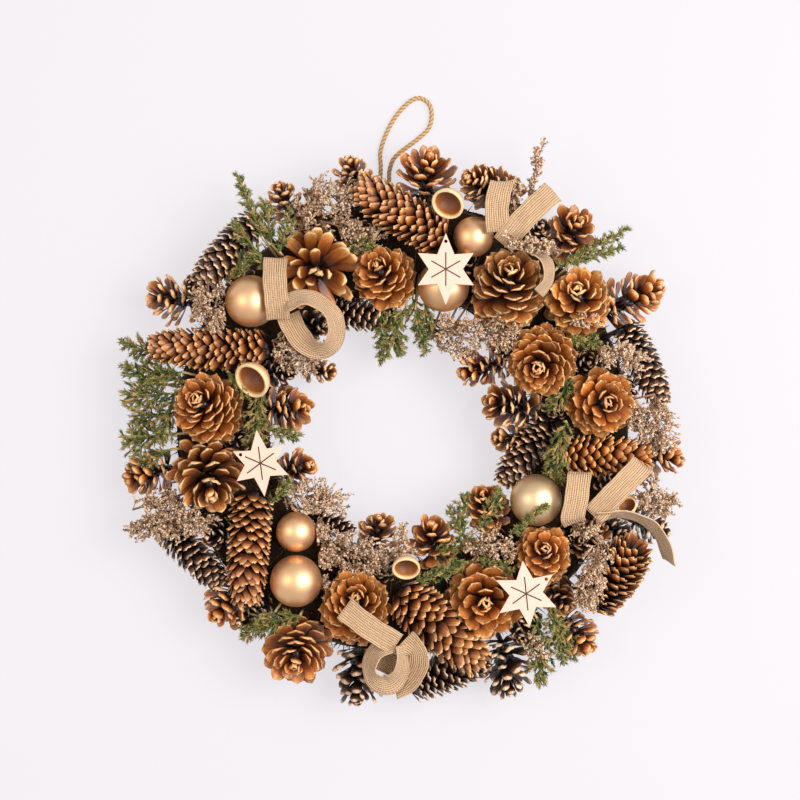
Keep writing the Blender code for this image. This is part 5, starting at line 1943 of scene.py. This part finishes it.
@dataclass
class StrawRing:
    """The base: straw packed into a ring with a flat back and bound round with thin twine."""

    bindings: int = 18
    straws: int = 1500
    scraps: int = 4200

    def section(self) -> list[tuple[float, float]]:
        """The ring's section.

        Returns:
            Its corners as radius and height, from the outer edge of its top round to the inner one.
        """
        outer = [(RING_SHOULDER, 0.6), (3, 4), (0.6, RING_FALL), (0.6, RING_TOP - 3), (2.2, RING_TOP)]
        right = [(RING_OUTER - inset, RING_TOP - down) for inset, down in outer]
        return right + [(RING_INNER + inset, RING_TOP - down) for inset, down in reversed(outer)]

    def build(self, straw: Material, twine: Material, scraps: Material, kit: Kit) -> None:
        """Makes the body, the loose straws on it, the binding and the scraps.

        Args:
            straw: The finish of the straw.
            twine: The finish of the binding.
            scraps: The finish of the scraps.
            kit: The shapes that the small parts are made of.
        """
        mesh = mesh_of(turned(self.section(), 144, True), "straw_ring")
        # Painted shade: the body is darker towards its top, which shows only in the shaded gaps between
        # the cones, and straw-coloured at its back
        level = np.array([vert.co.z for vert in mesh.vertices]) / (RING_TOP * MM)
        keep_values(mesh, tone=0.60 - 0.48 * level)
        set_piece("straw_ring_body", mesh, [straw], ("base_ring",))
        parts = (
            ("stalks", self.stalks(kit.thorn), straw),
            ("binding", self.binding(kit.stick), twine),
            ("scraps", self.strewn(kit.thorn), scraps),
        )
        for name, heap, material in parts:
            set_piece(f"straw_ring_{name}", heap.mesh(name), [material], ())

    def stalks(self, thorn: Shape) -> Heap:
        """Loose straws that lie round the body.

        Args:
            thorn: The point that each is made of.

        Returns:
            The straws.
        """
        rng = np.random.default_rng(7)
        rims = np.array(self.section(), float)
        turn = rng.uniform(0, FULL_CIRCLE, self.straws)
        spot = rng.uniform(0, 1, self.straws) * (len(rims) - 1)
        low = np.floor(spot).astype(int)
        part = (spot - low)[:, None]
        place = rims[low] * (1 - part) + rims[(low + 1) % len(rims)] * part
        half = rng.uniform(9, 20, self.straws) / place[:, 0]
        height = np.maximum(place[:, 1], 0.7)
        ends = []
        for angle, drift in ((turn - half / 2, -1), (turn + half / 2, 1)):
            r = place[:, 0] + drift * rng.normal(0, 0.6, self.straws)
            ends.append(np.column_stack((r * np.cos(angle), r * np.sin(angle), height)))
        # Painted shade: straws higher on the ring are darker
        level = (place[:, 1:] / RING_TOP).clip(0, 1)
        heap = Heap()
        heap.span(thorn, *ends, 0.8, tone=rng.uniform(0.1, 0.7, (self.straws, 1)) * (1.5 - 1.0 * level))
        return heap

    def binding(self, stick: Shape) -> Heap:
        """Turns of twine round the body.

        Args:
            stick: The stick that they are made of.

        Returns:
            The turns.
        """
        rims = np.array(self.section(), float)
        loop = np.vstack((rims, rims[:1])) + (0, 0.3)
        radius, height = loop[:, 0], np.maximum(loop[:, 1], 0.6)
        wraps = Heap()
        for turn in np.linspace(0, FULL_CIRCLE, self.bindings, endpoint=False) + 0.1:
            ring = np.column_stack((radius * math.cos(turn), radius * math.sin(turn), height))
            wraps.span(stick, ring[:-1], ring[1:], 0.55, tone=0.5)
        return wraps

    def strewn(self, thorn: Shape) -> Heap:
        """Short dry scraps of moss and needles on the ring's top and sides.

        Args:
            thorn: The point that each is made of.

        Returns:
            The scraps.
        """
        rng = np.random.default_rng(11)
        turn = rng.uniform(0, FULL_CIRCLE, self.scraps)
        radius = rng.uniform(RING_INNER + 0.8, RING_OUTER - 0.8, self.scraps)
        edge = rng.uniform(0, 1, self.scraps)
        outer, inner = edge < 0.16, edge > 0.88
        radius = np.where(outer, RING_OUTER - 0.8, np.where(inner, RING_INNER + 0.8, radius))
        out = np.column_stack((np.cos(turn), np.sin(turn), np.zeros(self.scraps)))
        foot = radius[:, None] * out
        flank = rng.uniform(3, RING_TOP - RING_FALL, self.scraps)
        foot[:, 2] = np.where(outer | inner, flank, ring_top(foot) - 0.4)
        lean = np.where(outer, 0.8, np.where(inner, -0.8, 0.0))[:, None] * out
        way = unit(rng.normal(0, 0.8, (self.scraps, 3)) + lean + (0, 0, 0.35))
        tip = foot + rng.uniform(3, 10, (self.scraps, 1)) * way
        tip[:, 2] = np.clip(tip[:, 2], 0.8, RING_TOP + 5)
        # None where a bauble's cap or the cord's knot is pinned in
        pinned = np.array([(x, y) for x, y, _, _ in BAUBLES.values()] + [KNOT_PLACE[:2]])
        clear = np.full(self.scraps, True)
        for end in (tip, foot):
            clear &= np.linalg.norm(end[:, None, :2] - pinned[None], axis=2).min(axis=1) > PINNED_CLEAR
        tone = np.clip(rng.normal(0.36, 0.24, (self.scraps, 1)), 0, 1)[clear]
        heap = Heap()
        heap.span(thorn, foot[clear], tip[clear], 0.42, tone=tone)
        return heap


@dataclass
class Studio:
    """Pale floor, soft lights on both sides and a camera straight above. Lengths are in metres."""

    lens: float = 88.6
    eye: Point = (-0.0019, 0.0179, 1.3)
    floor: tuple[float, ...] = (0.175, 0.174, 0.182, 1.0)
    floor_drop: float = 0.0002
    floor_glow: float = 0.718
    surround: float = 0.62

    def camera(self) -> None:
        """Looks straight down at the middle of the photograph."""
        data = bpy.data.cameras.new("camera")
        data.lens = self.lens
        camera = add_object("camera", data)
        camera.location = self.eye
        bpy.context.scene.camera = camera

    def light(self, name: str, place: Point, size: float, power: float, colour: str) -> None:
        """Hangs a square soft light that looks at the wreath.

        Args:
            name: Its name.
            place: Where it hangs.
            size: Its width.
            power: Its power in watts.
            colour: Its colour.
        """
        data = bpy.data.lights.new(name, "AREA")
        data.size, data.energy, data.color = size, power, linear(colour)[:3]
        lamp = add_object(name, data)
        lamp.location = place
        lamp.rotation_euler = (-Vector(place)).to_track_quat("-Z", "Y").to_euler()

    def build(self) -> None:
        """Sets the floor, the lights and the surroundings."""
        shape = bmesh.new()
        place = Matrix.Translation((0, 0, -self.floor_drop))
        bmesh.ops.create_grid(shape, x_segments=1, y_segments=1, size=6.0, matrix=place)
        mesh = bpy.data.meshes.new("floor")
        shape.to_mesh(mesh)
        shape.free()
        glow = {"Emission Color": linear("f6f2f7"), "Emission Strength": self.floor_glow}
        mesh.materials.append(Nodes("painted_floor").finish(self.floor, 0.9, glow))
        add_object("floor", mesh)
        self.light("right_light", (0.80, 0.12, 1.15), 1.0, 23.0, "fffaf4")
        self.light("left_light", (-0.85, 0.10, 1.15), 0.65, 5.0, "ffe6c8")
        scene = bpy.context.scene
        scene.world = scene.world or bpy.data.worlds.new("world")
        scene.world.use_nodes = True
        surround = scene.world.node_tree.nodes["Background"]
        surround.inputs["Color"].default_value = linear("f6f5fa")
        surround.inputs["Strength"].default_value = self.surround
        scene.view_settings.view_transform = "Standard"


@dataclass
class Wreath:
    """The whole wreath."""

    kit: Kit = field(default_factory=Kit)
    hard: list[Room] = field(default_factory=list)

    def plants(self) -> dict[str, list[Cone | Sprig]]:
        """Every cone and sprig, with a seed of its own.

        Returns:
            The cones, the sea lavender and the juniper by the name of their solid, or of their group
            where they have none.
        """
        plants, seed = {}, 100
        for name, rows in CONES.items():
            plants[name] = [Cone.of_row(f"{name}_{i}", row, seed + i) for i, row in enumerate(rows, 1)]
            seed += len(rows)
        rows = enumerate(TUCKED, 1)
        plants["tucked_cones"] = [Cone.of_row(f"tucked_cone_{i:02d}", row, 700 + i) for i, row in rows]
        for kind, table, group, extra, first in (
            (LavenderSprig, LAVENDER, "sea_lavender_wisps", LAVENDER_WISPS, 900),
            (JuniperSprig, JUNIPER, "juniper_tips", JUNIPER_TIPS, 950),
        ):
            for number, (name, rows) in enumerate(table.items()):
                plants[name] = [kind(*row, seed + i * 7 + number * 31) for i, row in enumerate(rows)]
            plants[group] = [kind(*row, first + i) for i, row in enumerate(extra)]
        return plants

    def build(self) -> None:
        """Builds the hard pieces first, and then the plants in the room that is left."""
        twine = JuteCordFinish().material()
        loop = HangingLoop()
        loop.build(twine)
        self.hard += loop.rooms()
        finishes = (STRAW_FINISH, BINDING_FINISH, SCRAPS_FINISH)
        StrawRing().build(*(finish.material() for finish in finishes), self.kit)
        cap = CapFinish().material()
        for name, (x, y, z, radius) in BAUBLES.items():
            bauble = Bauble(name, (x, y, z), radius, BAUBLE_TINTS.get(name, GOLD))
            self.hard += bauble.rooms()
            bauble.build(cap)
        plywood = PlywoodFinish().material()
        for name, (x, y, z, *rest) in STARS.items():
            star = Star(name, (x, y, z), *rest)
            self.hard.append(star.room())
            star.build(plywood)
        shell = SeedShellFinish().material()
        for name, (x, y, z, turn, rise, radius) in (SEED_CUPS | EXTRA_CUPS).items():
            cup = SeedCup(name, (x, y, z), heading(turn, rise), radius)
            self.hard.append(cup.room())
            cup.build(shell, (name,) if name in SEED_CUPS else ())
        weave = JuteWeave().material()
        for name, strips in BOWS.items():
            bow = Bow(name, strips)
            self.hard += bow.rooms()
            bow.build(weave)
        self.grow()

    def grow(self) -> None:
        """Shares out the room that is left and fills it with cones and sprigs."""
        planted = [(name, plant, plant.room()) for name, row in self.plants().items() for plant in row]
        firm = self.hard + [room for name, _, room in planted if name not in EXTRAS]
        for name, _, room in planted:
            room.share_with(self.hard if name in LOOSE else firm)
        finishes = {tone: finish.material() for tone, finish in CONE_FINISHES.items()}
        usual, small, spruce, plain = (slab_shape(*faces) for faces in ((6, 5), (5, 4), (4, 4), (4, 3)))
        heaps: dict[str, Heap] = {}
        for name, plant, room in planted:
            if isinstance(plant, Sprig):
                plant.fill(heaps.setdefault(name, Heap()), room, self.kit)
                continue
            if name in EXTRAS:
                scale = plain
            elif plant.kind is ConeKind.SMALL:
                scale = small
            else:
                scale = spruce if plant.kind.value.pitch else usual
            mesh = plant.heap(room, scale, self.kit.stick).mesh(plant.name)
            nodes = () if name in EXTRAS else (name,)
            set_piece(plant.name, mesh, [finishes[plant.tone]], nodes)
        slots = {"sea_lavender": LAVENDER_FINISH.material(), "juniper": JUNIPER_FINISH.material()}
        for name, heap in heaps.items():
            slot = "juniper" if name.startswith("juniper") else "sea_lavender"
            nodes = () if name in EXTRAS else (name,)
            set_piece(f"{name}_sprigs", heap.mesh(name), [slots[slot]], nodes)


def main() -> None:
    """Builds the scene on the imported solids."""
    logging.basicConfig(level=logging.INFO, format="%(message)s")
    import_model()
    studio = Studio()
    studio.camera()
    Wreath().build()
    studio.build()


if __name__ == "__main__":
    main()
